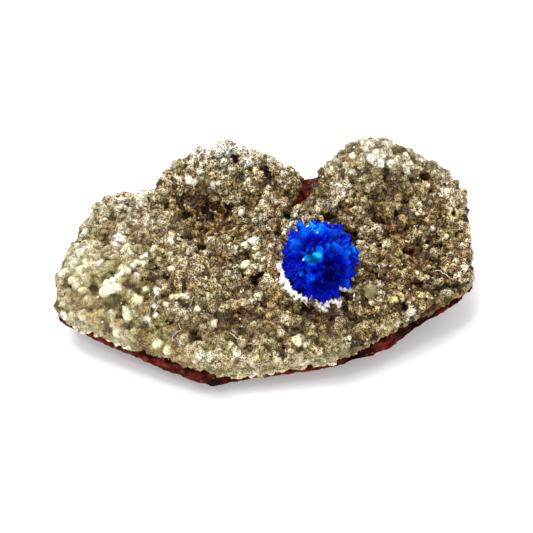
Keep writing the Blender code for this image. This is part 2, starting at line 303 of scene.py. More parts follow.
def tintedMaterial(name, constants):  # with a node that gives each point's tint
    material, tree, shader = newMaterial(name, constants)
    tint = tree.nodes.new("ShaderNodeAttribute")
    tint.attribute_name = "tint"
    return material, tree, shader, tint


def objectNoise(tree, scale, detail=3.0, roughness=0.5):
    place = tree.nodes.new("ShaderNodeTexCoord")
    pattern = tree.nodes.new("ShaderNodeTexNoise")
    pattern.inputs["Scale"].default_value = scale
    pattern.inputs["Detail"].default_value = detail
    pattern.inputs["Roughness"].default_value = roughness
    tree.links.new(place.outputs["Object"], pattern.inputs["Vector"])
    return pattern


def rampFrom(tree, source, stops):
    ramp = tree.nodes.new("ShaderNodeValToRGB")
    line = ramp.color_ramp.elements
    while len(line) < len(stops):
        line.new(0.5)
    for element, (at, colour) in zip(line, stops):
        element.position = at
        element.color = (*colour, 1.0)
    tree.links.new(source, ramp.inputs["Fac"])
    return ramp


def mixColours(tree, how, factor, first, second):
    mix = tree.nodes.new("ShaderNodeMix")
    mix.data_type = "RGBA"
    mix.blend_type = how
    if isinstance(factor, float):
        mix.inputs["Factor"].default_value = factor
    else:
        tree.links.new(factor, mix.inputs["Factor"])
    tree.links.new(first, mix.inputs["A"])
    tree.links.new(second, mix.inputs["B"])
    return mix.outputs["Result"]


def addBump(tree, shader, source, strength, depth):
    bump = tree.nodes.new("ShaderNodeBump")
    bump.inputs["Strength"].default_value = strength
    bump.inputs["Distance"].default_value = depth
    tree.links.new(source, bump.inputs["Height"])
    tree.links.new(bump.outputs["Normal"], shader.inputs["Normal"])


# The sugary crust: clouded and finely mottled, with small glinting facets
sugarFinish = {
    "clouding": [(0.34, (0.55, 0.47, 0.36)), (0.60, (1.0, 1.0, 1.0))], "cloudScale": 1500.0,
    "mottling": [(0.42, (0.08, 0.055, 0.03)), (0.54, (1.26, 1.26, 1.23))], "grainScale": 4800.0,
    "roughness": [(0.3, (0.12,) * 3), (0.7, (0.38,) * 3)],
    "facetScale": 4300.0, "facetBump": 0.55, "facetDepth": 0.00010,
    "scatter": {"Subsurface Weight": 0.45, "Subsurface Radius": (0.0004, 0.0003, 0.0002),
                "Subsurface Scale": 1.0},
}


def sugarMaterial(name, gloss):
    look = sugarFinish
    constants = {"Specular IOR Level": gloss, "IOR": 1.5, **look["scatter"]}
    material, tree, shader, tint = tintedMaterial(name, constants)
    share, colour = tint.outputs["Alpha"], tint.outputs["Color"]
    cloud = objectNoise(tree, look["cloudScale"], 4.0, 0.6)
    clouding = rampFrom(tree, cloud.outputs["Fac"], look["clouding"])
    colour = mixColours(tree, "MULTIPLY", share, colour, clouding.outputs["Color"])
    fine = objectNoise(tree, look["grainScale"], 2.0)
    mottling = rampFrom(tree, fine.outputs["Fac"], look["mottling"])
    colour = mixColours(tree, "MULTIPLY", share, colour, mottling.outputs["Color"])
    tree.links.new(colour, shader.inputs["Base Color"])
    rough = rampFrom(tree, fine.outputs["Fac"], look["roughness"])
    tree.links.new(rough.outputs["Color"], shader.inputs["Roughness"])
    place = tree.nodes.new("ShaderNodeTexCoord")
    facets = tree.nodes.new("ShaderNodeTexVoronoi")
    facets.inputs["Scale"].default_value = look["facetScale"]
    tree.links.new(place.outputs["Object"], facets.inputs["Vector"])
    addBump(tree, shader, facets.outputs["Distance"], look["facetBump"], look["facetDepth"])
    return material


# Basalt: the solid's own form with a broken, pitted skin
basaltLook = {
    "voxel": 0.36, "lumps": (1.1, 0.14), "chips": (2.6, 0.25), "grit": (0.40, 0.08),
    "red": (0.080, 0.006, 0.003), "brown": (0.034, 0.003, 0.002), "maroon": (0.010, 0.001, 0.002),
    "pink": (0.17, 0.036, 0.020), "patchPitch": 3.0, "patchEnds": (-0.25, 0.25),
    "streaks": (0.7, (0.25, 0.6, 2.0)), "streakEnds": (0.05, 0.40), "streakShare": 0.55,
    "hollowReach": 0.6, "hollowShade": 1.4, "seed": 21, "bubbles": 300, "bubbleSize": (0.15, 0.42),
    "bubbleDepth": 0.5, "lipPlace": 1.2, "lipWidth": 0.35, "lipShare": 0.6, "flatBelow": 0.15,
    "mottling": [(0.38, (0.20, 0.16, 0.16)), (0.50, (0.80, 0.74, 0.72)), (0.64, (1.45, 1.05, 0.95))],
    "specks": [(0.70, (0.0,) * 3), (0.76, (1.0,) * 3)], "speckColour": (0.30, 0.12, 0.07, 1.0),
    "roughness": [(0.4, (0.35,) * 3), (0.6, (0.75,) * 3)], "specular": 0.03, "bump": 0.7, "bumpDepth": 0.00012,
}
# Hollows of the rock's edge, with painted shade in them: pixel of the photograph, reach and depth in
# millimetres
rockHollows = [
    ((214, 384), 2.2, 0.1), ((231, 377), 1.5, 0.5), ((355, 358), 2.6, 0.8), ((371, 351), 2.0, 0.6),
    ((364, 355), 2.4, 0.8), ((403, 334), 2.2, 0.7), ((416, 327), 2.4, 0.8), ((428, 320), 2.0, 0.5),
    ((60, 312), 2.4, 0.2), ((150, 353), 1.2, 0.6),
]


def makeBasalt():
    look = basaltLook
    rock = mergedCopy("basalt_slab", "basaltRock")
    tree = BVHTree.FromPolygons(*[list(map(tuple, part)) for part in meshArrays(rock)])
    voxelRemesh(rock, look["voxel"])
    points, normals = pointsAndNormals(rock)
    places = points / mm
    (lumpPitch, lump), (chipPitch, chip), (gritPitch, grit) = (look[key] for key in ("lumps", "chips", "grit"))
    move = lump * noiseAt(places, lumpPitch) - chip * np.abs(noiseAt(places, chipPitch, 3.0))
    move += grit * noiseAt(places, gritPitch, 5.0)
    patch = smoothFall(*look["patchEnds"], noiseAt(places, look["patchPitch"], 8.0))[:, None]
    colours = blend(look["brown"], look["red"], patch)
    pitch, stretch = look["streaks"]
    streak = smoothFall(*look["streakEnds"], noiseAt(places * np.array(stretch), pitch, 11.0))[:, None]
    colours = blend(colours, look["pink"], look["streakShare"] * streak)
    for pixel, reach, depth in rockHollows:
        eye, direction = pixelRay(*pixel)
        spot = tree.ray_cast(eye * mm, direction)[0]
        if spot is None:
            continue
        near = nearness(lengths(points - np.array(spot)), reach * look["hollowReach"] * mm)
        move -= depth * near
        # painted shade: the rock is coloured dark maroon in and around each hollow
        near = np.clip(look["hollowShade"] * near, 0.0, 1.0)[:, None]
        colours = blend(colours, look["maroon"], near)
    rng = np.random.default_rng(look["seed"])
    for i in rng.choice(len(points), look["bubbles"]):  # gas bubbles: a small hollow with a pale lip
        size = rng.uniform(*look["bubbleSize"])
        gap = lengths(places - places[i]) / size
        move -= look["bubbleDepth"] * size * nearness(gap, 1.0)
        lip = nearness(gap - look["lipPlace"], look["lipWidth"])[:, None] * look["lipShare"]
        colours = blend(colours, look["pink"], lip)
    move[places[:, 2] < look["flatBelow"]] = 0.0  # the flat underside stays flat
    setPoints(rock, points + normals * move[:, None] * mm, colours)
    material, tree, shader, tint = tintedMaterial("redBasalt", {"Specular IOR Level": look["specular"]})
    mottling = rampFrom(tree, objectNoise(tree, 900.0, 6.0, 0.7).outputs["Fac"], look["mottling"])
    colour = mixColours(tree, "MULTIPLY", 1.0, tint.outputs["Color"], mottling.outputs["Color"])
    speck = rampFrom(tree, objectNoise(tree, 2400.0, 1.0).outputs["Fac"], look["specks"])
    pale = tree.nodes.new("ShaderNodeRGB")
    pale.outputs[0].default_value = look["speckColour"]
    colour = mixColours(tree, "MIX", speck.outputs["Color"], colour, pale.outputs[0])
    tree.links.new(colour, shader.inputs["Base Color"])
    rough = rampFrom(tree, objectNoise(tree, 1300.0, 3.0).outputs["Fac"], look["roughness"])
    tree.links.new(rough.outputs["Color"], shader.inputs["Roughness"])
    addBump(tree, shader, objectNoise(tree, 3000.0, 5.0, 0.7).outputs["Fac"], look["bump"], look["bumpDepth"])
    finishPiece(rock, material, "basalt", "basalt_slab")
    print("basalt done,", len(rock.data.polygons), "faces")
    corners = [tuple(face.vertices) for face in rock.data.polygons]
    return BVHTree.FromPolygons([vertex.co for vertex in rock.data.vertices], corners)


rockTree = makeBasalt()

# Crust: the solid's own form, on which the grains and lumps are placed
crustShape = mergedCopy("zeolite_crust", "crustGround")
crustPoints, crustFaces = meshArrays(crustShape)
crustTree = BVHTree.FromPolygons(*[list(map(tuple, part)) for part in (crustPoints / mm, crustFaces)])
castSettings = {"step": 0.05, "unknown": 0.6, "facesUp": 0.1}  # for the rays into the crust


def crustSpot(px, py):  # where the ray through a pixel of the photograph meets the crust, in millimetres
    eye, direction = pixelRay(px, py)
    spot, normal = crustTree.ray_cast(eye, direction)[:2]
    return (np.array(spot), np.array(normal)) if spot else (None, None)


def crustThickness(places, normals):  # from the crust's skin straight in to its far side, in millimetres
    step, unknown = castSettings["step"], castSettings["unknown"]
    thick = np.full(len(places), unknown)
    for i in np.nonzero(normals[:, 2] > castSettings["facesUp"])[0]:
        inward = Vector(-normals[i])
        spot, facing, _, gap = crustTree.ray_cast(Vector(places[i]) + step * inward, inward)
        if spot and facing.dot(inward) < 0.0:  # the place lies a little outside the skin
            gap = crustTree.ray_cast(spot + step * inward, inward)[3]
        thick[i] = gap or unknown
    return thick


# Where on the crust it is pale, brown, coarse or molten together: centre, reach, and what is added there
baseQuality = {"tone": 0.47, "size": 0.35, "warmth": 0.60, "green": 0.12, "melt": 0.0, "lump": 0.0}
crustZones = {
    "left cream": ((-26.0, -5.5), (8.5, 8.0),
                   {"tone": 0.06, "size": 0.24, "green": 0.60, "melt": 0.95, "lump": 1.0}),
    "front left": ((-15.0, -13.5), (9.0, 4.5),
                   {"tone": -0.11, "size": 0.13, "green": 0.3, "melt": 0.55, "lump": 0.4}),
    "left top": ((-22.0, 6.5), (6.0, 6.0),
                 {"tone": 0.25, "size": 0.07, "warmth": -0.2, "lump": 0.6, "melt": 0.25}),
    "basin": ((-8.0, 8.5), (8.5, 5.0), {"tone": -0.09, "size": -0.06, "warmth": 0.35}),
    "left back ridge": ((-7.0, 16.5), (10.0, 3.0), {"tone": 0.25, "warmth": -0.35, "lump": 0.6}),
    "right crown": ((18.0, 15.0), (9.0, 5.0),
                    {"tone": 0.01, "size": 0.16, "warmth": -0.55, "green": 0.30, "lump": 1.0, "melt": 0.5}),
    "right middle": ((24.0, 3.0), (7.5, 6.0), {"tone": -0.05, "size": -0.08, "warmth": 0.45}),
    "right low": ((22.0, -6.0), (8.0, 4.0), {"tone": -0.21, "size": -0.02, "warmth": 0.25}),
    "front middle": ((4.0, -13.5), (10.0, 3.5), {"tone": -0.12, "size": 0.10, "green": 0.2, "melt": 0.25}),
    "before the ball": ((9.0, -10.0), (6.0, 3.0), {"tone": -0.20, "warmth": -0.2}),
    "right rim": ((32.5, 5.0), (2.5, 9.0), {"tone": 0.24, "size": -0.03, "warmth": -0.2, "lump": 0.4}),
}
# A thin dark line near the right edge: pixels of the photograph along it
edgeLine = [
    (465, 200), (466, 209), (466, 218), (467, 227), (468, 236), (469, 245), (470, 254), (470, 262),
    (471, 270),
]
# Hollows, ridges and stained patches: pixel of the photograph, reach in pixels, then lift in millimetres,
# and how much paler, rustier and greener it is there (nothing where left out)
crustPatches = [
    ((374, 159), 8, 0.5, 0.02), ((347, 166), 8, 0.3, 0.1), ((366, 146), 7, 0.2, 0.12),
    ((357, 180), 6, 0.45, 0.08), ((336, 188), 7, 0.3, 0.12), ((368, 191), 5, 0.35, 0.1),
    ((392, 160), 7, 0.35, 0.08, 0.0, 0.2), ((405, 163), 6, 0.3, 0.1), ((428, 158), 6, 0.3, 0.14),
    ((385, 173), 5, -0.5, -0.14, 0.4, 0.3), ((399, 176), 5, -0.4, -0.08, 0.0, 0.6),
    ((378, 199), 7, -0.45, -0.16, 0.0, 0.4), ((354, 197), 6, -0.4, -0.16, 0.0, 0.4),
    ((426, 180), 7, -0.3, -0.12, 1.0), ((402, 198), 7, -0.35, -0.14, 1.0), ((352, 158), 5, -0.4, -0.1, 0.9),
    ((441, 190), 8, 0.2, 0.1), ((451, 200), 6, 0.2, 0.12), ((402, 228), 9, -0.1, -0.06, 0.8),
    ((410, 254), 11, -0.25, -0.14, 0.9), ((385, 243), 8, 0.0, 0.0, 0.0, 0.7),
    ((372, 232), 7, 0.0, -0.05, 0.8), ((425, 232), 7, 0.1, 0.05, 0.0, 0.7),
    ((428, 250), 8, 0.0, -0.04, 0.6), ((452, 236), 7, 0.15, 0.12), ((457, 262), 8, 0.1, 0.14, 0.0, 0.1),
    ((463, 276), 5, 0.0, 0.1, 0.0, 0.2), ((200, 208), 12, -0.3, -0.1, 0.6),
    ((203, 237), 10, -0.3, -0.14, 0.8), ((176, 228), 7, -0.25, -0.12, 0.5),
    ((222, 216), 8, 0.0, -0.04, 0.3, 0.2), ((236, 194), 8, 0.0, -0.04, 0.0, 0.5),
    ((190, 160), 8, 0.25, 0.08, 0.0, 0.3), ((181, 182), 7, 0.35, 0.2),
    ((210, 168), 7, -0.15, -0.06, 0.0, 0.4), ((231, 152), 8, 0.2, 0.14),
    ((224, 168), 5, -0.25, -0.1, 0.0, 0.7), ((262, 178), 8, -0.15, -0.12, 0.5), ((252, 160), 6, 0.1, 0.1),
    ((137, 198), 8, 0.25, 0.12), ((108, 210), 8, -0.1, -0.08, 0.4, 0.3),
    ((122, 222), 7, -0.1, -0.1, 0.3, 0.2), ((120, 244), 10, 0.35, 0.16),
    ((88, 240), 9, 0.25, 0.12, 0.0, 0.2), ((80, 262), 9, 0.2, 0.12, 0.0, 0.2),
    ((104, 272), 6, -0.4, -0.16, 0.0, 0.6), ((115, 262), 6, -0.35, -0.12, 0.4),
    ((95, 309), 9, -0.15, -0.12, 0.6), ((84, 305), 6, -0.2, -0.1, 0.0, 0.7),
    ((152, 276), 7, -0.4, -0.2, 0.0, 0.4), ((128, 285), 5, -0.35, -0.14, 0.5), ((273, 206), 8, 0.25, 0.12),
    ((256, 240), 7, 0.25, 0.12), ((278, 228), 6, -0.3, -0.16, 0.6), ((330, 317), 9, -0.25, -0.14, 0.0, 0.3),
    ((353, 309), 7, -0.25, -0.16, 0.0, 0.3), ((299, 309), 6, -0.35, -0.2, 0.0, 0.2),
    ((407, 296), 8, -0.2, -0.14, 0.9), ((395, 297), 5, 0.2, 0.16, 0.0, 0.5),
    ((428, 290), 7, -0.2, -0.08, 0.6), ((231, 351), 8, 0.25, 0.12, 0.0, 0.2),
    ((249, 345), 5, -0.25, -0.14, 0.5), ((270, 352), 7, 0.15, 0.08, 0.0, 0.5),
    ((193, 335), 6, -0.35, -0.16, 0.8), ((215, 335), 7, 0.1, 0.06, 0.2),
    ((146, 330), 7, 0.1, 0.08, 0.0, 0.4), ((236, 154), 13, -0.35, 0.25), ((92, 232), 9, -0.7, 0.4),
    *[(pixel, 3, 0.0, -0.9, 0.4) for pixel in edgeLine], ((268, 318), 8, 0.0, 0.04, 0.3),
    ((312, 330), 7, 0.1, 0.04, 0.2), ((345, 330), 7, 0.1, 0.06, 0.0, 0.2),
]
# Holes between the knobs, with painted shade in them: pixel of the photograph, reach in millimetres
pitSettings = {
    "depth": 1.0, "colour": (0.007, 0.003, 0.002), "edgeWaves": ((0.22, 6.1), (0.12, 13.7)),
    "holeShadeEnds": (0.25, 0.60), "holeShadeShare": 0.9, "noGrains": 0.4, "noBeads": 0.45,
}
pitSpots = [
    ((208, 212), 1.1), ((211, 218), 0.8), ((235, 158), 0.8), ((265, 171), 0.9), ((268, 174), 0.7),
    ((156, 268), 0.7), ((184, 287), 0.6), ((165, 276), 0.6), ((192, 331), 0.6), ((195, 338), 0.7),
    ((253, 280), 0.7), ((257, 276), 0.6), ((104, 237), 0.5), ((187, 214), 0.6), ((228, 207), 0.6),
    ((200, 246), 0.6), ((245, 253), 0.6), ((327, 216), 0.8), ((333, 219), 0.8), ((354, 234), 0.8),
    ((358, 241), 0.8), ((304, 304), 0.8), ((310, 308), 0.7), ((344, 298), 0.9), ((346, 306), 0.7),
    ((404, 305), 0.8), ((419, 284), 0.7), ((450, 286), 1.1), ((460, 289), 1.0), ((395, 212), 0.6),
    ((352, 182), 0.6), ((385, 190), 0.6), ((410, 178), 0.5), ((376, 221), 0.5), ((440, 246), 0.5),
    ((148, 352), 0.7), ((453, 214), 0.45), ((352, 346), 0.9), ((361, 343), 0.7), ((373, 338), 0.8),
    ((400, 325), 0.8), ((411, 320), 0.9), ((422, 313), 0.9), ((433, 305), 0.9), ((446, 297), 0.9),
    ((455, 285), 0.8), ((441, 287), 0.9), ((452, 276), 0.5), ((466, 283), 0.7), ((153, 354), 0.7),
    ((285, 215), 0.6), ((169, 296), 0.5), ((130, 328), 0.5), ((232, 378), 0.8), ((350, 340), 0.5),
]
pits = [(crustSpot(*pixel)[0], reach) for pixel, reach in pitSpots]
pits = [(spot, reach) for spot, reach in pits if spot is not None]
patchSettings = {"pixel": 0.158, "shares": (1.0, 0.75, 1.0, 1.0)}


def findPatches():  # place, reach in millimetres and the four values of each patch
    patches = []
    for pixel, reach, *values in crustPatches:
        spot = crustSpot(*pixel)[0]
        values = np.array(values + [0.0] * (4 - len(values))) * patchSettings["shares"]
        if spot is not None:
            patches.append((spot, reach * patchSettings["pixel"], values))
    return patches


patches = findPatches()


def patchValues(places):  # lift, tone, rust and green that the patches add
    total = np.zeros((len(places), 4))
    for spot, reach, values in patches:
        total += nearness(lengths(places - spot), reach)[:, None] * values
    return total.T


def pitNearness(places):  # 1 in the middle of a dark hole, falling to 0 around it
    (coarse, coarsePitch), (fine, finePitch) = pitSettings["edgeWaves"]
    coarseWave = coarse * np.sin(places[:, [1, 2, 0]] * coarsePitch)
    fineWave = fine * np.sin(places[:, [2, 0, 1]] * finePitch)
    places = places + coarseWave + fineWave
    near = np.zeros(len(places))
    for spot, reach in pits:
        near = np.maximum(near, nearness(lengths(places - spot), reach))
    return near


def zoneValue(places, key):  # the value of one quality at many places
    value = np.full(len(places), baseQuality[key])
    for (cx, cy), (rx, ry), change in crustZones.values():
        near = np.exp(-((places[:, 0] - cx) / rx) ** 2 - ((places[:, 1] - cy) / ry) ** 2)
        value += change.get(key, 0.0) * near
    return value


# Colours of the sugary grains from the darkest to the palest: cool, warm, greenish and rusty
grainColours = {
    "at": [0.0, 0.25, 0.5, 0.75, 1.0],
    "cool": [(0.04, 0.024, 0.011), (0.16, 0.118, 0.065), (0.36, 0.315, 0.225), (0.63, 0.59, 0.49),
             (0.93, 0.92, 0.87)],
    "warm": [(0.05, 0.019, 0.004), (0.17, 0.105, 0.022), (0.35, 0.27, 0.110), (0.62, 0.55, 0.37),
             (0.94, 0.92, 0.82)],
    "green": [(0.04, 0.032, 0.007), (0.15, 0.130, 0.038), (0.36, 0.345, 0.165), (0.65, 0.64, 0.45),
              (0.92, 0.93, 0.80)],
    "rust": [(0.05, 0.012, 0.004), (0.18, 0.083, 0.025), (0.37, 0.245, 0.105), (0.63, 0.51, 0.32),
             (0.93, 0.87, 0.76)],
}


def grainColour(tone, warmth, green, rust):
    warmth, green, rust = (np.clip(value, 0.0, 1.0)[:, None] for value in (warmth, green, rust))
    tone = np.clip(tone, 0.0, 1.0)
    cool, warm, olive, red = (
        np.stack([np.interp(tone, grainColours["at"], channel) for channel in zip(*grainColours[kind])], axis=1)
        for kind in ("cool", "warm", "green", "rust")
    )
    return blend(blend(blend(cool, warm, warmth), olive, green), red, rust)


# How height, colour, painted light and shade, and melting vary over the crust. A pair is a pitch in millimetres
# and an amount.
lookSettings = {
    "wallSlope": (0.55, 0.05), "wallMelt": 0.5, "wallLightAndPaleness": 0.20, "wallCalm": 0.8,
    "lift": (0.9, 0.25), "liftShading": 0.42, "heightShading": 0.26, "broadTone": (4.5, 0.16), "meltCalm": 0.45,
    "cluster": 1.9, "clusterRise": 0.55, "domeShading": 0.15, "cellTone": 0.12, "lumpRise": 0.5,
    "lumpTone": 0.6, "bigCluster": 2.9, "bigRise": 0.90, "bigDomeShading": 0.17, "bigCellTone": 0.10,
    "bend": 0.45, "bendPitch": 1.1, "cellSpread": 7.3, "domeEnd": 0.34, "domeMean": 0.68,
    "crevice": (0.15, 0.02), "creviceShading": 0.12, "deepest": -0.8, "deepestShare": 0.38,
    "warmth": (3.5, 0.7), "green": (3.0, 0.6), "rust": (2.6, 0.7), "rustMean": 0.15, "rustLump": 0.7,
    "patchRust": 0.8, "redness": (4.0, 1.6), "maroon": (0.042, 0.012, 0.006), "olive": (0.042, 0.027, 0.009),
}
bendShifts = [Vector((0.0, 0.0, 0.0)), Vector((17.3, 5.1, -8.2)), Vector((-9.7, 21.4, 3.3))]


def clusterAt(places, pitch):
    # Grains gather in lumps: the dome of the lump at each place, how far inside it is, and its random value
    look = lookSettings
    inside, chance = np.empty(len(places)), np.empty(len(places))
    for i, place in enumerate(places):
        spot = Vector(place)
        bend = Vector([noise.noise(spot / look["bendPitch"] + move) for move in bendShifts]) * look["bend"]
        gaps, centres = noise.voronoi((spot + bend) / pitch)
        inside[i] = gaps[1] - gaps[0]
        chance[i] = noise.cell(centres[0] * look["cellSpread"])
    return smoothFall(0.0, look["domeEnd"], inside) - look["domeMean"], inside, chance


def crustLook(places, normals):  # lift, melt, tone with painted light and shade, warmth, green and the painted shade colour of crevices at many places
    look = lookSettings

    def wave(key, shift=0.0):
        pitch, amount = look[key]
        return amount * noiseAt(places, pitch, shift)

    wall = smoothFall(*look["wallSlope"], normals[:, 2])
    melt = np.clip(zoneValue(places, "melt") + look["wallMelt"] * wall, 0.0, 1.0)
    lump = np.clip(zoneValue(places, "lump"), 0.0, 1.0)
    dome, inside, chance = clusterAt(places, look["cluster"])
    bigDome, inside, bigChance = clusterAt(places, look["bigCluster"])
    crevice = smoothFall(*look["crevice"], inside) * lump
    patchLift, patchTone, patchRust, patchGreen = patchValues(places)
    lift = wave("lift") + look["clusterRise"] * dome * (1.0 - look["lumpRise"] * lump)
    lift += look["bigRise"] * lump * bigDome + patchLift
    thickness = crustThickness(places, normals)
    deepest = np.maximum(look["deepest"], -look["deepestShare"] * thickness)
    lift = np.maximum(lift * (1.0 - look["wallCalm"] * wall), deepest)
    # Painted light and shade in the tone: lump middles and high, raised places are paler, crevices darker; the
    # random cell values and the broad wave are the crust's own tone
    cells = look["domeShading"] * dome + look["cellTone"] * (chance - 0.5)
    tone = wave("broadTone", 3.0)
    tone += cells * (1.0 - look["lumpTone"] * lump) - look["creviceShading"] * crevice
    tone += (look["bigDomeShading"] * bigDome + look["bigCellTone"] * (bigChance - 0.5)) * lump
    tone += look["heightShading"] * np.clip(heightAbove(places), -1.0, 1.0) + look["liftShading"] * lift
    tone = zoneValue(places, "tone") + tone * (1.0 - look["meltCalm"] * melt)
    # painted light on the steep walls, which get little light, together with the rim's own paler colour
    tone = tone + look["wallLightAndPaleness"] * wall + patchTone
    warmth = zoneValue(places, "warmth") + wave("warmth", 9.0)
    green = zoneValue(places, "green") + wave("green", 5.0) + patchGreen
    pitch, share = look["rust"]
    rust = share * (look["rustMean"] + noiseAt(places, pitch, 12.0)) * (1.0 - look["rustLump"] * lump)
    rust = rust + patchRust * look["patchRust"]
    # the painted shade colour of crevices and grain feet, olive to maroon
    redness = np.clip(0.5 + wave("redness", 7.0), 0.0, 1.0)[:, None]
    return {"melt": melt, "lift": lift, "tone": tone, "warmth": warmth, "green": green, "rust": rust,
            "dark": blend(look["olive"], look["maroon"], redness), "crevice": crevice, "thickness": thickness}


grainSettings = {
    "seed": 3, "tries": 110000, "spacing": 0.62, "shuffle": (0.6, 1.4), "facesOut": -0.25, "cell": 1.4,
    "sizeSpread": 0.38, "least": 0.19, "most": 0.95, "wallSize": 0.10, "ballClearance": 6.3, "top": 22.25,
    "sink": 0.42, "meltSink": 0.28, "flattening": 0.30, "fewFacesBelow": 0.31, "toneSpread": 0.08,
    "meltCalm": 0.6, "warmthSpread": 0.18, "rustSpread": 0.12, "creviceShadeShare": 0.5, "footShare": 0.43,
    "footCrevice": 0.6, "meltShare": 0.42,
}
ballLow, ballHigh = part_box("cavansite_ball")
ballCentre = (ballLow + ballHigh) * 0.5 / mm
ballCentre.z = ballLow.z / mm + 3.9  # the ball is cut off below, so its middle is nearer the low side


def roughBalls(count, firstSeed, subdivisions, **scatter):  # lumpy little balls, all different
    def addBall():
        bpy.ops.mesh.primitive_ico_sphere_add(subdivisions=subdivisions, radius=1.0)

    return [roughShape(addBall, seed=firstSeed + index, **scatter) for index in range(count)]


def grainShapes():  # each of 80 faces
    return roughBalls(6, 1, 2, offset=0.24, uniform=0.4, normal=0.5)


def beadShapes():  # smaller and rougher, each of 20 faces
    return roughBalls(5, 11, 1, offset=0.3, uniform=0.6, normal=0.3)


def scatterOnCrust(settings, radiusAt):
    # Random places on the crust's upper and outer faces, thinned until no two grains are too close
    rng = np.random.default_rng(settings["seed"])
    a, b, c = (crustPoints[crustFaces[:, i]] / mm for i in range(3))
    cross = np.cross(b - a, c - a)
    area = lengths(cross)
    normals = cross / np.maximum(area, 1e-9)[:, None]
    weight = np.where(normals[:, 2] > settings["facesOut"], area, 0.0)
    face = rng.choice(len(crustFaces), size=settings["tries"], p=weight / weight.sum())
    u, v = rng.random(settings["tries"]), rng.random(settings["tries"])
    flip = u + v > 1.0
    u[flip], v[flip] = 1.0 - u[flip], 1.0 - v[flip]
    places = a[face] + (b - a)[face] * u[:, None] + (c - a)[face] * v[:, None]
    normals = normals[face]
    radii = radiusAt(places, normals, rng)
    order = np.argsort(-radii * rng.uniform(*settings["shuffle"], len(radii)))
    cells, kept = {}, []
    for i in order:
        key = tuple(int(value // settings["cell"]) for value in places[i])
        near = [
            j for dx in (-1, 0, 1) for dy in (-1, 0, 1) for dz in (-1, 0, 1)
            for j in cells.get((key[0] + dx, key[1] + dy, key[2] + dz), ())
        ]
        if near:
            gaps = places[near] - places[i]
            reach = settings["spacing"] * (radii[near] + radii[i])
            if (np.einsum("ij,ij->i", gaps, gaps) < reach * reach).any():
                continue
        cells.setdefault(key, []).append(i)
        kept.append(i)
    return places[kept], normals[kept], radii[kept], rng


heightGrid = {"step": 0.5, "reach": 2.2, "corner": (-40.0, -25.0), "cells": (160, 100)}


def heightAbove(places):  # how far each place stands above its surroundings
    step, reach, (left, front), counts = (heightGrid[key] for key in ("step", "reach", "corner", "cells"))
    across = np.floor((places[:, 0] - left) / step).astype(int)
    deep = np.floor((places[:, 1] - front) / step).astype(int)
    total, count = np.zeros(counts), np.zeros(counts)
    np.add.at(total, (across, deep), places[:, 2])
    np.add.at(count, (across, deep), 1.0)
    width = int(reach / step)
    spread = nearness(np.arange(-2 * width, 2 * width + 1), width)
    for axis in (0, 1):
        total = np.apply_along_axis(np.convolve, axis, total, spread, mode="same")
        count = np.apply_along_axis(np.convolve, axis, count, spread, mode="same")
    mean = total / np.maximum(count, 1e-6)
    return places[:, 2] - mean[across, deep]


def scatterGrains():
    settings = grainSettings

    def radiusAt(places, normals, rng):
        wall = smoothFall(*lookSettings["wallSlope"], normals[:, 2])
        size = zoneValue(places, "size") * (1.0 - settings["wallSize"] * wall)
        size *= np.exp(rng.normal(0.0, settings["sizeSpread"], len(places)))
        return np.clip(size, settings["least"], settings["most"])

    places, normals, radii, rng = scatterOnCrust(settings, radiusAt)
    clear = lengths(places - np.array(ballCentre)) > settings["ballClearance"] + 0.2 * radii
    free = clear & (pitNearness(places) < pitSettings["noGrains"])
    places, normals, radii = places[free], normals[free], radii[free]
    count = len(places)
    print("grains", count)
    look = crustLook(places, normals)
    melt, green = look["melt"], look["green"]
    tone = look["tone"] + rng.normal(0.0, settings["toneSpread"], count) * (1.0 - settings["meltCalm"] * melt)
    warmth = look["warmth"] + rng.normal(0.0, settings["warmthSpread"], count)
    rust = look["rust"] + rng.normal(0.0, settings["rustSpread"], count)
    # painted shade: grains in the crevices between lumps are darkened towards the shade colour, and each grain
    # gets a darker foot colour as painted shade
    deep = look["crevice"][:, None]
    colours = blend(grainColour(tone, warmth, green, rust), look["dark"], settings["creviceShadeShare"] * deep)
    own = settings["footShare"] * (1.0 - settings["footCrevice"] * deep) + settings["meltShare"] * melt[:, None]
    sink = (settings["sink"] + settings["meltSink"] * melt) * radii
    centres = places + normals * (look["lift"] - sink)[:, None]
    centres[:, 2] = np.minimum(centres[:, 2], settings["top"] - radii)
    return {"centres": centres, "normals": normals, "radii": radii, "melt": melt, "colours": colours,
            "dark": blend(look["dark"], colours, own), "tone": tone, "warmth": warmth, "green": green,
            "rust": rust}


grains = scatterGrains()


# Beads: lesser lumps grown on the grains, which make them look like sugar
beadSettings = {
    "seed": 5, "perGrain": 2.7, "size": (0.28, 0.62), "radius": (0.11, 0.36), "lean": 0.8, "out": (0.72, 0.98),
    "toneSpread": 0.11, "meltCalm": 0.7, "brighter": 0.03, "sideShade": 0.45, "warmthSpread": 0.15,
}


def onGrains(settings, rng):  # random places on the outward sides of the grains
    count = int(len(grains["centres"]) * settings["perGrain"])
    radii, normals = grains["radii"], grains["normals"]
    on = rng.choice(len(radii), size=count, p=radii ** 2 / (radii ** 2).sum())
    lean = unit(rng.normal(size=(count, 3)) * settings["lean"] + normals[on])
    centres = grains["centres"][on] + lean * (radii[on] * rng.uniform(*settings["out"], count))[:, None]
    side = 1.0 - np.einsum("ij,ij->i", lean, normals[on])
    spread = settings["toneSpread"] * (1.0 - settings["meltCalm"] * grains["melt"][on])
    tone = grains["tone"][on] + settings["brighter"] + rng.normal(0.0, 1.0, count) * spread
    # painted shade: beads and crystals on the sides of a grain are darker
    return on, centres, tone - settings["sideShade"] * np.clip(side - 0.2, 0.0, 1.0)


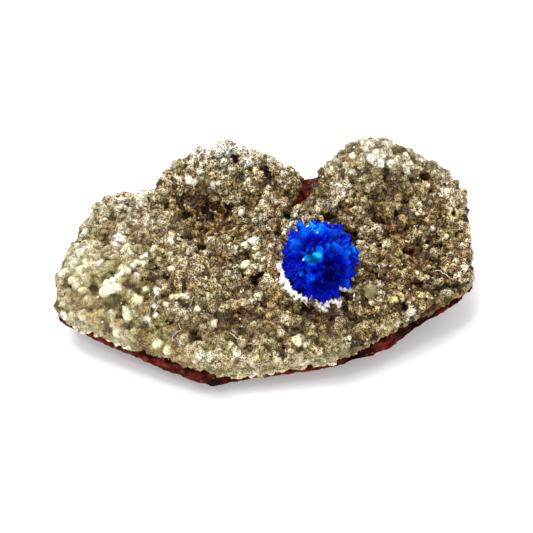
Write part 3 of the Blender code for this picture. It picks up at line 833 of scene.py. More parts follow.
def scatterBeads():
    settings = beadSettings
    rng = np.random.default_rng(settings["seed"])
    on, centres, tone = onGrains(settings, rng)
    free = pitNearness(centres) < pitSettings["noBeads"]
    on, centres, tone = on[free], centres[free], tone[free]
    radii = np.clip(grains["radii"][on] * rng.uniform(*settings["size"], len(on)), *settings["radius"])
    warmth = grains["warmth"][on] + rng.normal(0.0, settings["warmthSpread"], len(on))
    colours = grainColour(tone, warmth, grains["green"][on], grains["rust"][on])
    same = {key: grains[key][on] for key in ("normals", "melt", "dark")}
    return {"centres": centres, "radii": radii, "colours": colours, **same}


# Beads that stand out one by one: pixel of the photograph, radius in pixels, colour, and share that is sunk
cream, yellow, white, olive = (0.80, 0.76, 0.52), (0.68, 0.60, 0.26), (0.80, 0.76, 0.66), (0.27, 0.24, 0.12)
snow = (0.93, 0.92, 0.88)
namedBeads = [
    ((139, 300), 6.0, cream, 0.3), ((145, 289), 4.0, cream, 0.4), ((155, 316), 4.0, white, 0.4),
    ((127, 316), 5.0, cream, 0.5), ((113, 325), 4.0, white, 0.5), ((148, 320), 4.0, white, 0.4),
    ((298, 341), 6.5, cream, 0.3), ((212, 323), 5.0, cream, 0.4), ((247, 265), 5.0, cream, 0.4),
    ((305, 344), 3.5, white, 0.4), ((370, 291), 7.5, olive, 0.6), ((393, 299), 4.5, yellow, 0.4),
    ((399, 295), 3.5, yellow, 0.4), ((242, 213), 4.5, white, 0.3), ((210, 211), 2.6, white, 0.3),
    ((188, 180), 4.5, white, 0.5), ((193, 182), 4.0, white, 0.5), ((213, 183), 4.5, white, 0.5),
    ((219, 182), 3.5, white, 0.5), ((244, 266), 5.0, cream, 0.5), ((252, 241), 5.0, white, 0.5),
    ((244, 244), 4.5, white, 0.5), ((258, 238), 4.0, white, 0.5), ((172, 269), 4.5, white, 0.4),
    ((170, 241), 4.5, white, 0.5), ((197, 309), 3.5, cream, 0.4), ((181, 261), 4.0, cream, 0.5),
    ((122, 240), 6.0, white, 0.6), ((115, 246), 5.0, white, 0.6), ((127, 247), 4.5, white, 0.6),
    ((88, 265), 7.0, cream, 0.6), ((80, 270), 6.0, cream, 0.6), ((101, 264), 5.5, white, 0.6),
    ((144, 256), 4.5, white, 0.5), ((66, 315), 6.0, white, 0.6), ((72, 322), 5.0, white, 0.6),
    ((82, 290), 5.0, cream, 0.6), ((376, 152), 5.0, white, 0.6), ((366, 147), 4.0, white, 0.6),
    ((389, 163), 5.0, white, 0.6), ((352, 155), 4.0, white, 0.6), ((405, 168), 4.5, white, 0.6),
    ((420, 160), 4.0, white, 0.6), ((300, 362), 4.0, cream, 0.6), ((255, 357), 4.0, yellow, 0.6),
    ((276, 360), 5.0, cream, 0.6), ((158, 345), 8.0, cream, 0.65), ((168, 349), 6.0, cream, 0.65),
    ((271, 196), 3.0, white, 0.4), ((277, 202), 2.6, white, 0.4), ((266, 192), 2.8, white, 0.4),
    ((432, 228), 3.0, white, 0.4), ((425, 246), 2.8, cream, 0.4), ((446, 236), 2.6, white, 0.4),
    ((172, 296), 3.0, cream, 0.2), ((176, 296), 3.0, cream, 0.2), ((180, 296), 3.0, cream, 0.2),
    ((184, 297), 3.0, white, 0.2), ((187, 298), 2.5, white, 0.2), ((165, 304), 2.5, cream, 0.3),
    ((169, 302), 3.0, cream, 0.3), ((173, 303), 3.0, white, 0.3), ((176, 305), 2.5, white, 0.3),
    ((279, 268), 2.8, snow, 0.0), ((281, 273), 2.6, snow, 0.0), ((282, 279), 3.0, snow, 0.0),
    ((284, 285), 3.2, snow, 0.0), ((287, 290), 3.0, snow, 0.0), ((291, 294), 2.5, snow, 0.1),
    ((296, 298), 2.0, snow, 0.1), ((278, 263), 2.2, snow, 0.1), ((280, 282), 2.6, snow, 0.3),
    ((318, 304), 1.8, snow, 0.1), ((322, 308), 2.0, snow, 0.1), ((326, 311), 2.2, snow, 0.2),
    ((156, 289), 2.2, snow, 0.2), ((157, 293), 2.0, snow, 0.3), ((154, 306), 2.0, snow, 0.2),
    ((353, 278), 1.8, snow, 0.1), ((351, 291), 1.8, snow, 0.1),
    ((449, 214), 1.8, yellow, 0.1), ((451, 210), 1.8, yellow, 0.1), ((455, 210), 1.8, cream, 0.1),
    ((457, 214), 1.8, yellow, 0.1), ((455, 218), 1.8, cream, 0.1), ((451, 218), 1.8, yellow, 0.1),
]
# The bright cream ridge of the left end, a chain of lumps grown into one
ridgeLumps = [
    ((106, 291), 6.5), ((112, 289), 6.0), ((108, 284), 5.0), ((113, 281), 4.5), ((118, 277), 3.8),
    ((122, 273), 3.2), ((127, 270), 3.4), ((132, 267), 3.0), ((136, 262), 3.2), ((140, 258), 3.0),
    ((117, 287), 4.0), ((142, 264), 3.4),
]
ridgeColour = (0.90, 0.88, 0.68)
# The crust's rim hangs over the rock in front: pixels along it with the rim's half height in pixels
rimBand = [
    ((66, 318), 2.0), ((74, 325), 3.0), ((84, 330), 4.0), ((94, 332), 4.0), ((105, 336), 3.5),
    ((116, 341), 2.5), ((128, 346), 2.0), ((140, 351), 1.5), None, ((214, 371), 2.0), ((226, 374), 2.5),
    ((240, 375), 3.0), ((256, 373), 3.0), ((272, 370), 2.8), ((288, 367), 2.5), ((304, 365), 2.5),
    ((320, 363), 2.5), ((334, 362), 2.0),
]
rimSettings = {
    "seed": 37, "perStep": 26, "spread": (-2.2, 0.8), "radius": (0.20, 0.52), "normal": (0.0, -0.75, 0.66),
    "tone": (0.64, 0.15), "green": 0.4, "warmth": 0.4, "melt": 0.5, "footShade": -0.3, "footWarmth": 0.6,
}


def placeRim():  # lumps on the rock's front, side by side below the crust's edge
    settings = rimSettings
    rng = np.random.default_rng(settings["seed"])
    centres, radii = [], []
    for first, last in zip(rimBand, rimBand[1:]):
        if first is None or last is None:
            continue
        for turn in range(settings["perStep"]):
            share = rng.random()
            half = blend(first[1], last[1], share)
            px, py = blend(first[0], last[0], share)
            eye, direction = pixelRay(px, py + rng.uniform(*settings["spread"]) * half)
            spot = rockTree.ray_cast(eye * mm, direction)[0]
            if spot is not None:
                centres.append(np.array(spot) / mm)
                radii.append(rng.uniform(*settings["radius"]))
    count = len(radii)
    tone = rng.normal(*settings["tone"], count)
    green, warmth, foot = (np.full(count, settings[key]) for key in ("green", "warmth", "footWarmth"))
    zero = np.zeros(count)
    # the foot colour is a painted shade, darker than the lump's own colour
    return {"centres": np.array(centres), "normals": np.tile(settings["normal"], (count, 1)),
            "radii": np.array(radii), "melt": np.full(count, settings["melt"]),
            "colours": grainColour(tone, warmth, green, zero),
            "dark": grainColour(tone + settings["footShade"], foot, green, zero)}


namedSettings = {
    "seed": 31, "out": 0.8, "ridgeOut": 0.35, "size": 0.92, "melt": 0.8, "lumps": 7, "lumpOut": (0.55, 0.85),
    "lumpSize": (0.25, 0.5), "shades": (0.82, 1.12), "stackSteps": (0.7, 1.3, 1.9), "stackPitch": 1.1,
    "stackSize": (1.1, 0.25), "foot": (0.45, 0.40, 0.32), "whiteAbove": 0.8, "whiteFoot": 0.4,
}


def placeNamed():  # the standing beads and the ridge, with lesser lumps around each
    settings = namedSettings
    lumps = settings["lumps"]
    widest, taper = settings["stackSize"]
    rng = np.random.default_rng(settings["seed"])
    chosen = [(pixel, radius, colour, settings["out"] * (1.0 - 2.0 * sunk))
              for pixel, radius, colour, sunk in namedBeads]
    chosen += [(pixel, radius, ridgeColour, settings["ridgeOut"]) for pixel, radius in ridgeLumps]
    centres, normals, radii, colours = [], [], [], []
    for pixel, radius, colour, out in chosen:
        spot, normal = crustSpot(*pixel)
        if spot is None:
            continue
        radius *= pixelSize * settings["size"]
        middle = spot + normal * out * radius
        if colour is snow:  # stacked towards the eye
            toEye = -np.array(pixelRay(*pixel)[1])
            for step in settings["stackSteps"]:
                centres.append(middle + toEye * step * settings["stackPitch"] * radius)
                normals.append(normal)
                radii.append(radius * (widest - taper * step))
                colours.append(np.array(colour))
        lean = unit(rng.normal(size=(lumps, 3)) + normal)
        centres += [middle] + list(middle + lean * radius * rng.uniform(*settings["lumpOut"], (lumps, 1)))
        normals += [normal] * (lumps + 1)
        radii += [radius] + list(radius * rng.uniform(*settings["lumpSize"], lumps))
        colours += [np.array(colour) * shade for shade in [1.0] + list(rng.uniform(*settings["shades"], lumps))]
    colours = np.array(colours)
    # painted shade at the feet: the foot colour is darker, less so for white beads
    white = (colours[:, 2:3] > settings["whiteAbove"]) * settings["whiteFoot"]
    return {"centres": np.array(centres), "normals": np.array(normals), "radii": np.array(radii),
            "melt": np.full(len(radii), settings["melt"]), "colours": colours,
            "dark": colours * (np.array(settings["foot"]) + white)}


# Ground of the crust, below the grains, and level with them where they have molten together
groundLook = {
    "voxel": 0.30, "sink": 0.38, "meltRise": 0.85, "ripple": (0.55, 0.28), "groundShare": 0.55, "under": 0.1,
    "underVoxel": 0.7, "underInset": 0.35, "deepInset": 2.4, "deepShare": 0.95,
}


def makeGround():
    look = groundLook
    under = newObject("crustUnderside", crustShape.data.copy())
    voxelRemesh(under, look["underVoxel"])
    points, normals = pointsAndNormals(under)
    deep = np.minimum(look["deepInset"], look["deepShare"] * crustThickness(points / mm, normals))
    up = normals[:, 2] > castSettings["facesUp"]
    inset = np.where(up, deep, look["underInset"])  # its upper side lies below the hollows
    # painted shade: the underside is coloured dark maroon, so that it shows dark where it is seen below the
    # hollows
    setPoints(under, points - normals * inset[:, None] * mm, np.tile(lookSettings["maroon"], (len(points), 1)))
    finishPiece(under, sugarMaterial("crustInside", 0.1), "zeolite", "zeolite_crust")
    voxelRemesh(crustShape, look["voxel"])
    points, normals = pointsAndNormals(crustShape)
    places = points / mm
    crust = crustLook(places, normals)
    melt = crust["melt"][:, None]
    pitch, height = look["ripple"]
    move = crust["lift"][:, None] - look["sink"] * (1.0 - look["meltRise"] * melt)
    move = move - pitSettings["depth"] * pitNearness(places)[:, None]
    move += melt * height * noiseAt(places, pitch, 2.0)[:, None]
    move = np.maximum(move, -look["groundShare"] * crust["thickness"][:, None])
    down = smoothFall(0.0, -0.5, normals[:, 2])[:, None]
    move = blend(move, look["under"], down)
    setPoints(crustShape, points + normals * move * mm, np.ones(points.shape))


# The skin: ground, grains and beads grown into one surface, then roughened like sugar
skinSettings = {
    "seed": 17, "voxel": 0.15, "soften": (0.35, 1), "meltSoften": (0.55, 5), "sugar": (0.36, 0.08),
    "fineSugar": (0.19, 0.045), "meltCalm": 0.45, "footShadeEnds": (-0.3, 0.75), "bare": (0.06, 0.30),
    "meltBare": 0.7, "bareShade": 0.6, "cavitySoften": (0.6, 7), "cavity": 0.09, "cavityRange": (-0.55, 0.30),
    "meltCavity": 0.6, "tintSoften": (0.5, 1), "meltTintSoften": (0.6, 5), "meltSpeckle": 0.7,
    "facesDown": -0.25, "hiddenReach": 0.75, "cuts": [-21.0, -11.0, -1.0, 9.0, 20.0],
}


def grainsNear(places, centres, radii):  # the grain that each place belongs to, and how far off it is
    tree = KDTree(len(centres))
    for i, centre in enumerate(centres):
        tree.insert(centre, i)
    tree.balance()
    owner, gap = np.empty(len(places), int), np.empty(len(places))
    for i, place in enumerate(places):
        gap[i], owner[i] = min((distance - radii[j], j) for spot, j, distance in tree.find_n(place, 5))
    return owner, gap


def makeSkin():
    settings = skinSettings
    kinds = [grains, scatterBeads(), placeNamed(), placeRim()]
    centres, normals, radii, melt, colours, dark = (
        np.concatenate([kind[key] for kind in kinds])
        for key in ("centres", "normals", "radii", "melt", "colours", "dark")
    )
    rng = np.random.default_rng(settings["seed"])
    count = len(radii)
    round6, rough5 = grainShapes(), beadShapes()
    rounded = radii > grainSettings["fewFacesBelow"]
    shapeKinds = np.where(rounded, rng.integers(0, 6, count), rng.integers(6, 11, count))
    sizes = radii[:, None] * (1.0 + rng.uniform(-1.0, 1.0, (count, 3)) * grainSettings["flattening"])
    skin = joinCopies("crustSkin", round6 + rough5, shapeKinds, centres * mm, randomTurns(count, rng),
                      sizes * mm, plainWhite)
    makeGround()
    selectOnly(skin)
    crustShape.select_set(True)
    bpy.ops.object.join()
    voxelRemesh(skin, settings["voxel"])
    print("skin:", len(skin.data.polygons), "faces before the hidden ones go")
    points, facing = pointsAndNormals(skin)
    pairs = neighbourPairs(skin)
    corners = np.empty(len(skin.data.loops), dtype=np.int32)
    skin.data.loops.foreach_get("vertex_index", corners)
    faces = corners.reshape(-1, 4)
    # nobody sees the underside that lies on the rock
    middles = points[faces].mean(axis=1)
    down = facing[faces][:, :, 2].mean(axis=1) < settings["facesDown"]
    hidden = np.zeros(len(faces), bool)
    for i in np.nonzero(down)[0]:
        hidden[i] = rockTree.find_nearest(middles[i], settings["hiddenReach"] * mm)[0] is not None
    owner, gap = grainsNear(points / mm, centres, radii)
    own = melt[owner]
    share, rounds = settings["soften"]
    points = relax(points, pairs, share, rounds)
    share, rounds = settings["meltSoften"]
    points = relax(points, pairs, share * own[:, None], rounds)
    spots = points / mm
    rough = sum(height * noiseAt(spots, pitch, shift) for shift, (pitch, height) in
                enumerate([settings["sugar"], settings["fineSugar"]]))
    points = points + facing * (rough * (1.0 - settings["meltCalm"] * own))[:, None] * mm
    share, rounds = settings["cavitySoften"]
    cavity = np.einsum("ij,ij->i", points - relax(points, pairs, share, rounds), facing) / mm
    # painted shade: each grain is darker at its foot and has its own colour towards the top
    rise = np.einsum("ij,ij->i", spots - centres[owner], normals[owner]) / radii[owner]
    tint = blend(dark[owner], colours[owner], smoothFall(*settings["footShadeEnds"], rise)[:, None])
    # painted shade on the bare ground between the grains
    bare = (smoothFall(*settings["bare"], gap) * (1.0 - settings["meltBare"] * own))[:, None]
    tint = blend(tint, settings["bareShade"] * dark[owner], bare)
    share, rounds = settings["tintSoften"]
    tint = relax(tint, pairs, share, rounds)
    share, rounds = settings["meltTintSoften"]
    tint = relax(tint, pairs, share * own[:, None], rounds)
    # painted shade in cavities and painted light on bumps
    shade = np.clip(cavity / settings["cavity"], *settings["cavityRange"])[:, None]
    tint *= 1.0 + shade * (1.0 - settings["meltCavity"] * own[:, None])
    # painted shade in the holes between the knobs
    hole = smoothFall(*pitSettings["holeShadeEnds"], pitNearness(spots))[:, None]
    tint = tint * (1.0 - pitSettings["holeShadeShare"] * hole) + np.array(pitSettings["colour"]) * hole
    material = sugarMaterial("sugaryZeolite", 0.14)
    parts = np.digitize(middles[:, 0] / mm, settings["cuts"])
    bpy.data.objects.remove(skin, do_unlink=True)
    for part in range(len(settings["cuts"]) + 1):
        chosen = faces[(parts == part) & ~hidden]
        used, numbers = np.unique(chosen, return_inverse=True)
        piece = meshFromArrays("crustSkin" + str(part + 1), points[used], numbers.reshape(-1, 4), tint[used],
                               1.0 - settings["meltSpeckle"] * own[used])
        finishPiece(piece, material, "zeolite", "zeolite_crust")


makeSkin()


# Tiny crystals that stand on the grains and glint
crystalSettings = {
    "seed": 8, "perGrain": 1.4, "lean": 0.75, "out": (0.93, 1.08), "toneSpread": 0.20, "meltCalm": 0.7,
    "brighter": 0.08, "sideShade": 0.4, "size": (0.05, 0.12), "uneven": (0.7, 1.3), "white": 0.07,
    "glintSize": (0.10, 0.16), "glintTone": 1.2, "paler": -0.2,
}


def makeTinyCrystals():
    settings = crystalSettings
    rng = np.random.default_rng(settings["seed"])
    shapes = [roughShape(lambda: bpy.ops.mesh.primitive_cube_add(size=1.6), offset=0.25, uniform=1.0, seed=4)]
    on, centres, tone = onGrains(settings, rng)
    count = len(on)
    # painted highlights: a share of the crystals is near white and larger, to stand for glints
    white = rng.random(count) < settings["white"]
    tone[white] = settings["glintTone"]
    size = rng.uniform(*settings["size"], count)
    size[white] = rng.uniform(*settings["glintSize"], white.sum())
    size = size[:, None] * rng.uniform(*settings["uneven"], (count, 3))
    colours = grainColour(tone, *(grains[key][on] + settings["paler"] for key in ("warmth", "green", "rust")))

    def colourOf(chosen, world, shapePoints):
        return np.repeat(colours[chosen][:, None, :], len(shapePoints), axis=1)

    piece = joinCopies("tinyCrystals", shapes, np.zeros(count, int), centres * mm, randomTurns(count, rng),
                       size * mm, colourOf)
    finishPiece(piece, sugarMaterial("glintingZeolite", 1.0), "zeolite", "zeolite_crust")


makeTinyCrystals()

# Thin white threads that lie over the crust: pixels of the photograph along each
threadSettings = {
    "seed": 51, "thickness": 0.046, "lift": 0.50, "wander": 0.24, "endDrop": (0.0, 0.0, 0.6),
    "thinner": (0.5, 1.4), "colour": (0.80, 0.79, 0.72),
}
threadPaths = [
    [(154, 286), (157, 290), (156, 297), (155, 304), (152, 313)],
    [(157, 291), (159, 297), (157, 303), (158, 309)],
    [(165, 316), (165, 311), (167, 308), (170, 306), (174, 306)],
    [(179, 323), (179, 329), (178, 335), (175, 339), (171, 342)], [(178, 334), (179, 340), (177, 346)],
    [(184, 309), (187, 311), (188, 314), (192, 313)], [(191, 304), (194, 301), (197, 297)],
    [(230, 331), (233, 335), (238, 338), (240, 341)], [(247, 341), (252, 342), (256, 340)],
    [(225, 286), (229, 285), (231, 283)], [(436, 270), (441, 275), (447, 277), (455, 279)],
    [(428, 276), (434, 279), (440, 283)], [(376, 263), (380, 268), (381, 274)],
    [(392, 283), (396, 288), (397, 292)], [(298, 300), (303, 304), (309, 306)],
]


def makeThreads():
    settings = threadSettings
    rng = np.random.default_rng(settings["seed"])
    paths = bpy.data.curves.new("whiteThreads", "CURVE")
    paths.dimensions = "3D"
    paths.bevel_depth = settings["thickness"] * mm
    paths.bevel_resolution = 1
    for pixels in threadPaths:
        spots = [crustSpot(*pixel) for pixel in pixels]
        spots = [spot + normal * settings["lift"] for spot, normal in spots if spot is not None]
        between = [(first + second) / 2.0 for first, second in zip(spots, spots[1:])]
        spots = [place for pair in zip(spots, between) for place in pair] + spots[-1:]
        spots = [spot + rng.normal(0.0, settings["wander"], 3) for spot in spots]
        for end in (0, -1):
            spots[end] = spots[end] - np.array(settings["endDrop"])
        line = paths.splines.new("NURBS")
        line.points.add(len(spots) - 1)
        for point, spot in zip(line.points, spots):
            point.co = (*(spot * mm), 1.0)
            point.radius = rng.uniform(*settings["thinner"])
        line.order_u = 3
        line.use_endpoint_u = True
        line.resolution_u = 3
    threads = newObject("whiteThreads", paths)
    selectOnly(threads)
    bpy.ops.object.convert(target="MESH")
    setTint(threads.data, np.tile(settings["colour"], (len(threads.data.vertices), 1)), 0.3)
    finishPiece(threads, sugarMaterial("threadZeolite", 0.4), "zeolite", "zeolite_crust")


makeThreads()


# White blades that stand against the lower left of the ball: pixels of foot and tip, width in pixels
collarSettings = {
    "seed": 41, "ballReach": 1.2, "longest": 2.6, "longestShare": 0.7, "perBlade": 4, "lean": 0.22,
    "sunk": 0.15, "scatter": 0.12, "thickness": 0.30, "broader": 1.25, "width": (0.6, 1.1),
    "thicker": (0.7, 1.5), "length": (0.8, 1.15), "voxel": 0.13, "rough": (0.35, 0.09), "patchPitch": 0.9,
    "colour": (0.95, 0.95, 0.92), "foot": (0.80, 0.77, 0.69), "speckle": 0.25,
}
collarBlades = [
    ((276, 264), (283, 267), 5.0), ((278, 268), (284, 272), 4.0), ((280, 277), (286, 274), 4.5),
    ((282, 283), (288, 279), 5.0), ((284, 288), (290, 284), 5.0), ((287, 292), (292, 288), 5.0),
    ((291, 295), (296, 291), 4.0), ((296, 298), (300, 293), 3.5), ((300, 300), (303, 294), 2.5),
    ((305, 303), (304, 296), 2.0), ((314, 300), (309, 296), 2.0), ((318, 303), (313, 298), 2.5),
    ((321, 307), (316, 301), 2.5), ((325, 311), (320, 305), 3.0), ((328, 306), (326, 300), 3.0),
    ((334, 303), (332, 297), 4.0), ((338, 306), (336, 299), 3.5), ((345, 291), (342, 286), 4.0),
    ((349, 291), (347, 285), 3.0), ((352, 280), (355, 276), 2.5), ((294, 213), (298, 220), 4.0),
    ((290, 222), (294, 226), 3.0), ((284, 232), (288, 236), 2.5), ((353, 299), (358, 292), 1.0),
]


def makeCollar():
    settings = collarSettings
    rng = np.random.default_rng(settings["seed"])
    starts, outs, sizes = [], [], []
    for footPixel, tipPixel, width in collarBlades:
        foot = crustSpot(*footPixel)[0]
        if foot is None:
            continue
        tip = ballCentre + Vector(ballPlace(tipPixel, settings["ballReach"]))
        along = np.array(tip) - foot
        longest = min(settings["longest"], settings["longestShare"] * width)
        along *= min(1.0, longest / np.linalg.norm(along))
        for turn in range(settings["perBlade"]):  # each is a small group of blades
            lean = along + rng.normal(0.0, settings["lean"], 3)
            starts.append(foot - settings["sunk"] * along + rng.normal(0.0, settings["scatter"], 3))
            outs.append(lean)
            broad = width * pixelSize * rng.uniform(*settings["width"])
            thick = settings["thickness"] * rng.uniform(*settings["thicker"])
            sizes.append((broad, thick, np.linalg.norm(lean) * rng.uniform(*settings["length"])))
    starts, outs, sizes = np.array(starts), np.array(outs), np.array(sizes)
    shapes = [bladeShape(slant, seed) for seed, slant in enumerate([0.3, -0.3, 0.7, -0.7])]
    turns = turnsAlong(outs, rng.uniform(0.0, math.pi, len(outs)))
    sizes[:, :2] *= settings["broader"]
    piece = joinCopies("whiteBlades", shapes, rng.integers(0, len(shapes), len(outs)), starts * mm, turns,
                       sizes * mm, plainWhite)
    voxelRemesh(piece, settings["voxel"])
    points, normals = pointsAndNormals(piece)
    pitch, height = settings["rough"]
    move = height * noiseAt(points / mm, pitch, 1.0)
    rise = smoothFall(-0.5, 0.5, noiseAt(points / mm, settings["patchPitch"], 4.0))[:, None]
    colours = blend(settings["foot"], settings["colour"], rise)
    setPoints(piece, points + normals * move[:, None] * mm, colours, settings["speckle"])
    finishPiece(piece, sugarMaterial("whiteBladedZeolite", 0.5), "zeolite", "zeolite_crust")


# The cavansite ball: tufts of broad blades that radiate from its middle, over a dark inner form
ballSettings = {
    "seed": 12, "tufts": 34, "perTuft": 5, "fan": 0.36, "stray": 0.14, "even": 0.08, "root": 1.4,
    "reach": (4.9, 5.95), "tuftReach": (-0.25, 0.25), "fanReach": 0.35, "width": (1.7, 2.9),
    "thickness": (0.7, 1.1), "spikeWidth": 0.75, "radius": 6.2, "coreInset": 0.35, "ends": (3.6, 5.6),
    "crossing": 360, "crossBase": (3.8, 5.0), "crossLean": 0.75, "crossLength": (0.9, 1.6),
    "crossWidth": (0.8, 1.6), "crossThickness": (0.35, 0.6), "voxel": 0.16, "crumple": (0.55, 0.20),
    # deep is painted shade; azure and cyan are painted light on the blue
    "deep": (0.0, 0.001, 0.09), "blue": (0.0, 0.006, 0.46), "azure": (0.0, 0.17, 0.93),
    "cyan": (0.01, 0.62, 1.0),
    "lightScale": 39.0, "lightReach": 1.2, "lightPower": 1.25, "lightNoise": ((0.5, 0.20), (1.3, 0.25)),
    "lowest": -4.2,  # no tip is further below the middle than this
    "streaks": [(0.36, (0.55, 0.50, 0.70)), (0.60, (1.0, 1.0, 1.0))], "sparkle": (0.16, 0.20),
    "finish": {"Roughness": 0.22, "Specular IOR Level": 0.04}, "bump": 0.3, "bumpDepth": 0.00008,
}
# The longest spikes of the outline: pixel of the photograph, and how far the tip stands towards the camera
longSpikes = [
    ((296, 220), 0.6), ((341, 223), 0.0), ((284, 242), 0.0), ((360, 252), 0.0), ((357, 257), 0.5),
    ((323, 304), 2.6), ((339, 298), 2.4), ((351, 286), 1.2), ((307, 298), 2.4), ((315, 218), 0.0),
    ((325, 219), 0.0), ((288, 231), 0.0), ((356, 274), 0.5), ((281, 258), 0.0), ((284, 275), 1.2),
    ((293, 288), 2.0), ((348, 233), 0.0), ((332, 222), 0.0), ((283, 250), 0.3), ((354, 265), 0.3),
    ((331, 300), 2.4), ((315, 300), 2.4),
]
# Painted light and shade on the ball: pixel, reach in pixels, and how much lighter (below zero, painted shade)
paintedBallLights = [
    ((303, 226), 8.0, 0.9), ((317, 222), 9.0, 1.1), ((297, 219), 5.0, 0.6), ((340, 227), 6.0, 0.5),
    ((337, 236), 6.0, 0.3), ((333, 244), 5.0, 0.45), ((350, 250), 8.0, 0.6), ((357, 248), 4.0, 0.9),
    ((290, 240), 6.0, 0.5), ((289, 246), 5.0, 0.4), ((312, 256), 6.5, 1.5), ((305, 257), 5.0, 1.3),
    ((319, 254), 4.0, 1.0), ((296, 274), 4.0, 0.6), ((304, 274), 3.0, 0.4), ((313, 282), 5.0, 0.7),
    ((335, 264), 4.0, 0.4), ((349, 283), 5.0, 0.4), ((318, 246), 3.5, 0.7), ((340, 296), 4.0, 0.2),
    ((333, 272), 11.0, -0.9), ((312, 237), 7.0, -0.5), ((294, 258), 8.0, -0.3), ((310, 268), 6.0, -0.3),
    ((322, 290), 10.0, -0.6), ((300, 284), 6.0, -0.3), ((342, 278), 8.0, -0.4), ((330, 258), 6.0, -0.3),
    ((326, 232), 5.0, -0.2),
]
# Painted highlights on the ball, small white beads put where the glints are: pixels of the photograph
ballPaintedGlints = [(303, 259), (315, 261), (357, 246), (317, 232), (345, 295)]


def ballPlace(pixel, towards=None):  # from the ball's middle to what a pixel of the photograph shows of it
    eye, direction = pixelRay(*pixel)
    off = eye + direction * (ballCentre - eye).dot(direction) - ballCentre
    if towards is None:
        towards = math.sqrt(max(ballSettings["radius"] ** 2 - off.length_squared, 0.0))
    return np.array(off - direction * towards)


def ballDirection(pixel):
    place = ballPlace(pixel)
    return place / np.linalg.norm(place)


def bladeShape(slant, seed):  # a flat prism with a slanting pointed end, from z 0 to 1
    bpy.ops.object.select_all(action="DESELECT")
    bpy.ops.mesh.primitive_cylinder_add(vertices=6, radius=0.5, depth=0.8, location=(0.0, 0.0, 0.4))
    obj = bpy.context.object
    bpy.ops.object.transform_apply(location=True, rotation=False, scale=False)
    bpy.ops.object.mode_set(mode="EDIT")
    selectFaces(obj, lambda face: face.normal.z > 0.9)
    bpy.ops.mesh.extrude_region_move(TRANSFORM_OT_translate={"value": (0.1 * slant, 0.0, 0.2)})
    bpy.ops.transform.resize(value=(0.28, 0.22, 1.0), center_override=(0.4 * slant, 0.0, 1.0))
    selectFaces(obj, lambda face: face.normal.z < -0.9)
    bpy.ops.transform.resize(value=(0.45, 0.45, 1.0), center_override=(0.0, 0.0, 0.0))
    bpy.ops.mesh.select_all(action="SELECT")
    bpy.ops.transform.vertex_random(offset=0.06, uniform=1.0, seed=seed)
    bpy.ops.object.mode_set(mode="OBJECT")
    return takeShape(obj)


def evenDirections(count, rng, stray):
    i = np.arange(count) + 0.5
    z = 1.0 - 2.0 * i / count
    turn = i * math.pi * (3.0 - math.sqrt(5.0))
    flat = np.sqrt(1.0 - z * z)
    out = np.stack([flat * np.cos(turn), flat * np.sin(turn), z], axis=1)
    out += rng.normal(0.0, stray, out.shape)
    return unit(out)


def paintedBallLight(directions):
    settings = ballSettings
    light = np.zeros(len(directions))
    for pixel, reach, strength in paintedBallLights:
        reach = settings["lightReach"] * reach / settings["lightScale"]
        gap = lengths(directions - ballDirection(pixel))
        light += settings["lightPower"] * strength * nearness(gap, reach)
    return light


def bladeColour(light, rise):  # painted shade deep at the root; at the tip blue, with azure or cyan as painted light and deep as painted shade
    deep, blue, azure, cyan = (np.array(ballSettings[key]) for key in ("deep", "blue", "azure", "cyan"))
    first = np.clip(light, 0.0, 1.0)[..., None]
    second = np.clip(light - 1.0, 0.0, 1.0)[..., None]
    shade = np.clip(-light, 0.0, 0.9)[..., None]
    return blend(deep, blend(blend(blend(blue, azure, first), cyan, second), deep, shade), rise)


def blueMaterial(name):
    settings = ballSettings
    material, tree, shader, tint = tintedMaterial(name, settings["finish"])
    streaks = rampFrom(tree, objectNoise(tree, 1400.0, 5.0, 0.6).outputs["Fac"], settings["streaks"])
    colour = mixColours(tree, "MULTIPLY", 1.0, tint.outputs["Color"], streaks.outputs["Color"])
    tree.links.new(colour, shader.inputs["Base Color"])
    rough = objectNoise(tree, 2500.0, 3.0)
    addBump(tree, shader, rough.outputs["Fac"], settings["bump"], settings["bumpDepth"])
    return material


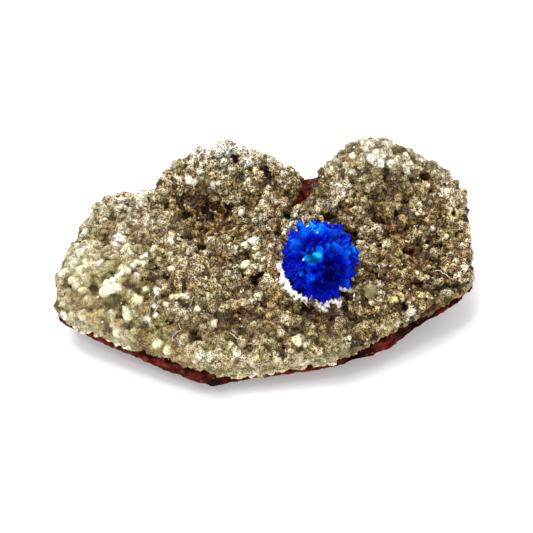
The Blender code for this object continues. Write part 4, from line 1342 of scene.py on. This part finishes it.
def makeBall():
    settings = ballSettings
    perTuft = settings["perTuft"]
    rng = np.random.default_rng(settings["seed"])
    shapes = [bladeShape(slant, seed) for seed, slant in enumerate([0.0, 0.5, -0.5, 0.8, -0.8])]
    tufts = evenDirections(settings["tufts"], rng, settings["even"])
    axes = np.repeat(tufts, perTuft, axis=0)
    tuftReach = np.repeat(rng.uniform(*settings["tuftReach"], len(tufts)), perTuft)
    across = unit(np.cross(axes, np.repeat(rng.normal(size=tufts.shape), perTuft, axis=0)))
    spread = np.tile(np.linspace(-1.0, 1.0, perTuft), len(tufts))
    out = axes + across * (spread * settings["fan"])[:, None] + rng.normal(0.0, settings["stray"], axes.shape)
    spikes = np.array([ballPlace(*spike) for spike in longSpikes])
    out = unit(np.concatenate([out, spikes]))
    count = len(out)
    reach = np.interp(rng.random(count), [0.0, 1.0], settings["reach"])
    reach[:len(spread)] += tuftReach - settings["fanReach"] * spread ** 2
    reach[len(spread):] = lengths(spikes)
    start = out * settings["root"]
    sizes = np.stack([rng.uniform(*settings["width"], count), rng.uniform(*settings["thickness"], count),
                      reach - settings["root"]], axis=1)
    sizes[len(spread):, :2] *= settings["spikeWidth"]
    # crossing blades crumple the surface between the long ones
    base = evenDirections(settings["crossing"], rng, settings["even"])
    more = len(base)
    out = np.concatenate([out, unit(base + rng.normal(0.0, settings["crossLean"], base.shape))])
    start = np.concatenate([start, base * rng.uniform(*settings["crossBase"], more)[:, None]])
    keys = ("crossWidth", "crossThickness", "crossLength")
    sizes = np.concatenate([sizes, np.stack([rng.uniform(*settings[key], more) for key in keys], axis=1)])
    tips = start + out * sizes[:, 2:]
    keep = (tips[:, 2] > settings["lowest"]) & (start[:, 2] > settings["lowest"])
    start, out, sizes = start[keep], out[keep], sizes[keep]
    centre = np.array(ballCentre)
    turns = turnsAlong(out, rng.uniform(0.0, 2.0 * math.pi, len(out)))
    kinds = rng.integers(0, len(shapes), len(out))
    piece = joinCopies("cavansiteBlades", shapes, kinds, (centre + start) * mm, turns, sizes * mm, plainWhite)
    voxelRemesh(piece, settings["voxel"])
    points, normals = pointsAndNormals(piece)
    spots = points / mm
    pitch, height = settings["crumple"]
    move = height * noiseAt(spots, pitch, 1.0) + 0.5 * height * noiseAt(spots, 0.4 * pitch, 2.0)
    along = spots - centre
    far = lengths(along)
    # painted light and shade on the blades, with noise in it
    (finePitch, fine), (broadPitch, broad) = settings["lightNoise"]
    light = paintedBallLight(along / far[:, None]) + fine * noiseAt(spots, finePitch, 3.0)
    light += broad * noiseAt(spots, broadPitch, 6.0)
    rise = smoothFall(*settings["ends"], far)[:, None]
    setPoints(piece, points + normals * move[:, None] * mm, bladeColour(light, rise))
    print("ball:", len(points), "points")
    finishPiece(piece, blueMaterial("cavansiteBlue"), "cavansite", "cavansite_ball")
    # painted highlights: small white beads on the blades where the glints are
    corners = [tuple(face.vertices) for face in piece.data.polygons]
    ballTree = BVHTree.FromPolygons([tuple(point) for point in spots], corners)
    spots = [ballTree.ray_cast(*pixelRay(*pixel))[0] for pixel in ballPaintedGlints]
    spots = np.array([np.array(spot) for spot in spots if spot is not None])
    count = len(spots)
    sparkles = joinCopies("ballPaintedGlints", beadShapes()[:1], np.zeros(count, int), spots * mm,
                          randomTurns(count, rng), rng.uniform(*settings["sparkle"], (count, 3)) * mm,
                          plainWhite, 0.0)
    finishPiece(sparkles, sugarMaterial("whitePaintedGlints", 1.0), "zeolite", "zeolite_crust")
    core = mergedCopy("cavansite_ball", "cavansiteCore")
    points, normals = pointsAndNormals(core)
    points = points - normals * settings["coreInset"] * mm
    # the inner form takes the same painted light and shade, with painted shade deep towards the middle
    along = points / mm - centre
    rise = smoothFall(*settings["ends"], lengths(along))[:, None]
    setPoints(core, points, bladeColour(paintedBallLight(unit(along)), rise))
    finishPiece(core, blueMaterial("cavansiteDeepBlue"), "cavansite", "cavansite_ball")


makeBall()
makeCollar()


# Floor and light
lightSettings = {
    "key": {"place": (-0.07, 0.06, 0.33), "size": 0.22, "power": 1.10},
    "fill": {"place": (0.05, -0.35, 0.20), "size": 0.30, "power": 0.80},
    "spark": {"place": (-0.16, -0.12, 0.40), "size": 0.03, "power": 0.22},
    "world": 0.85,
}


def addLamp(name, settings):
    data = bpy.data.lights.new(name, "AREA")
    data.shape = "DISK"
    data.size = settings["size"]
    data.energy = settings["power"]
    lamp = newObject(name, data)
    lamp.location = settings["place"]
    lamp.rotation_euler = Vector(settings["place"]).to_track_quat("Z", "Y").to_euler()


def makeStudio():
    bpy.ops.object.select_all(action="DESELECT")
    bpy.ops.mesh.primitive_plane_add(size=6.0, location=(0.0, 0.0, -0.00002))
    floor = bpy.context.object
    floor.name = "floor"
    material = newMaterial("paleFloor", {"Base Color": (0.88, 0.88, 0.88, 1.0), "Roughness": 0.9})[0]
    floor.data.materials.append(material)
    for name in ("key", "fill", "spark"):
        addLamp(name, lightSettings[name])
    world = bpy.data.worlds.new("studio")
    world.use_nodes = True
    sky = world.node_tree.nodes["Background"]
    sky.inputs["Color"].default_value = (1.0, 1.0, 1.0, 1.0)
    sky.inputs["Strength"].default_value = lightSettings["world"]
    bpy.context.scene.world = world
    bpy.context.scene.view_settings.view_transform = "Standard"


makeStudio()
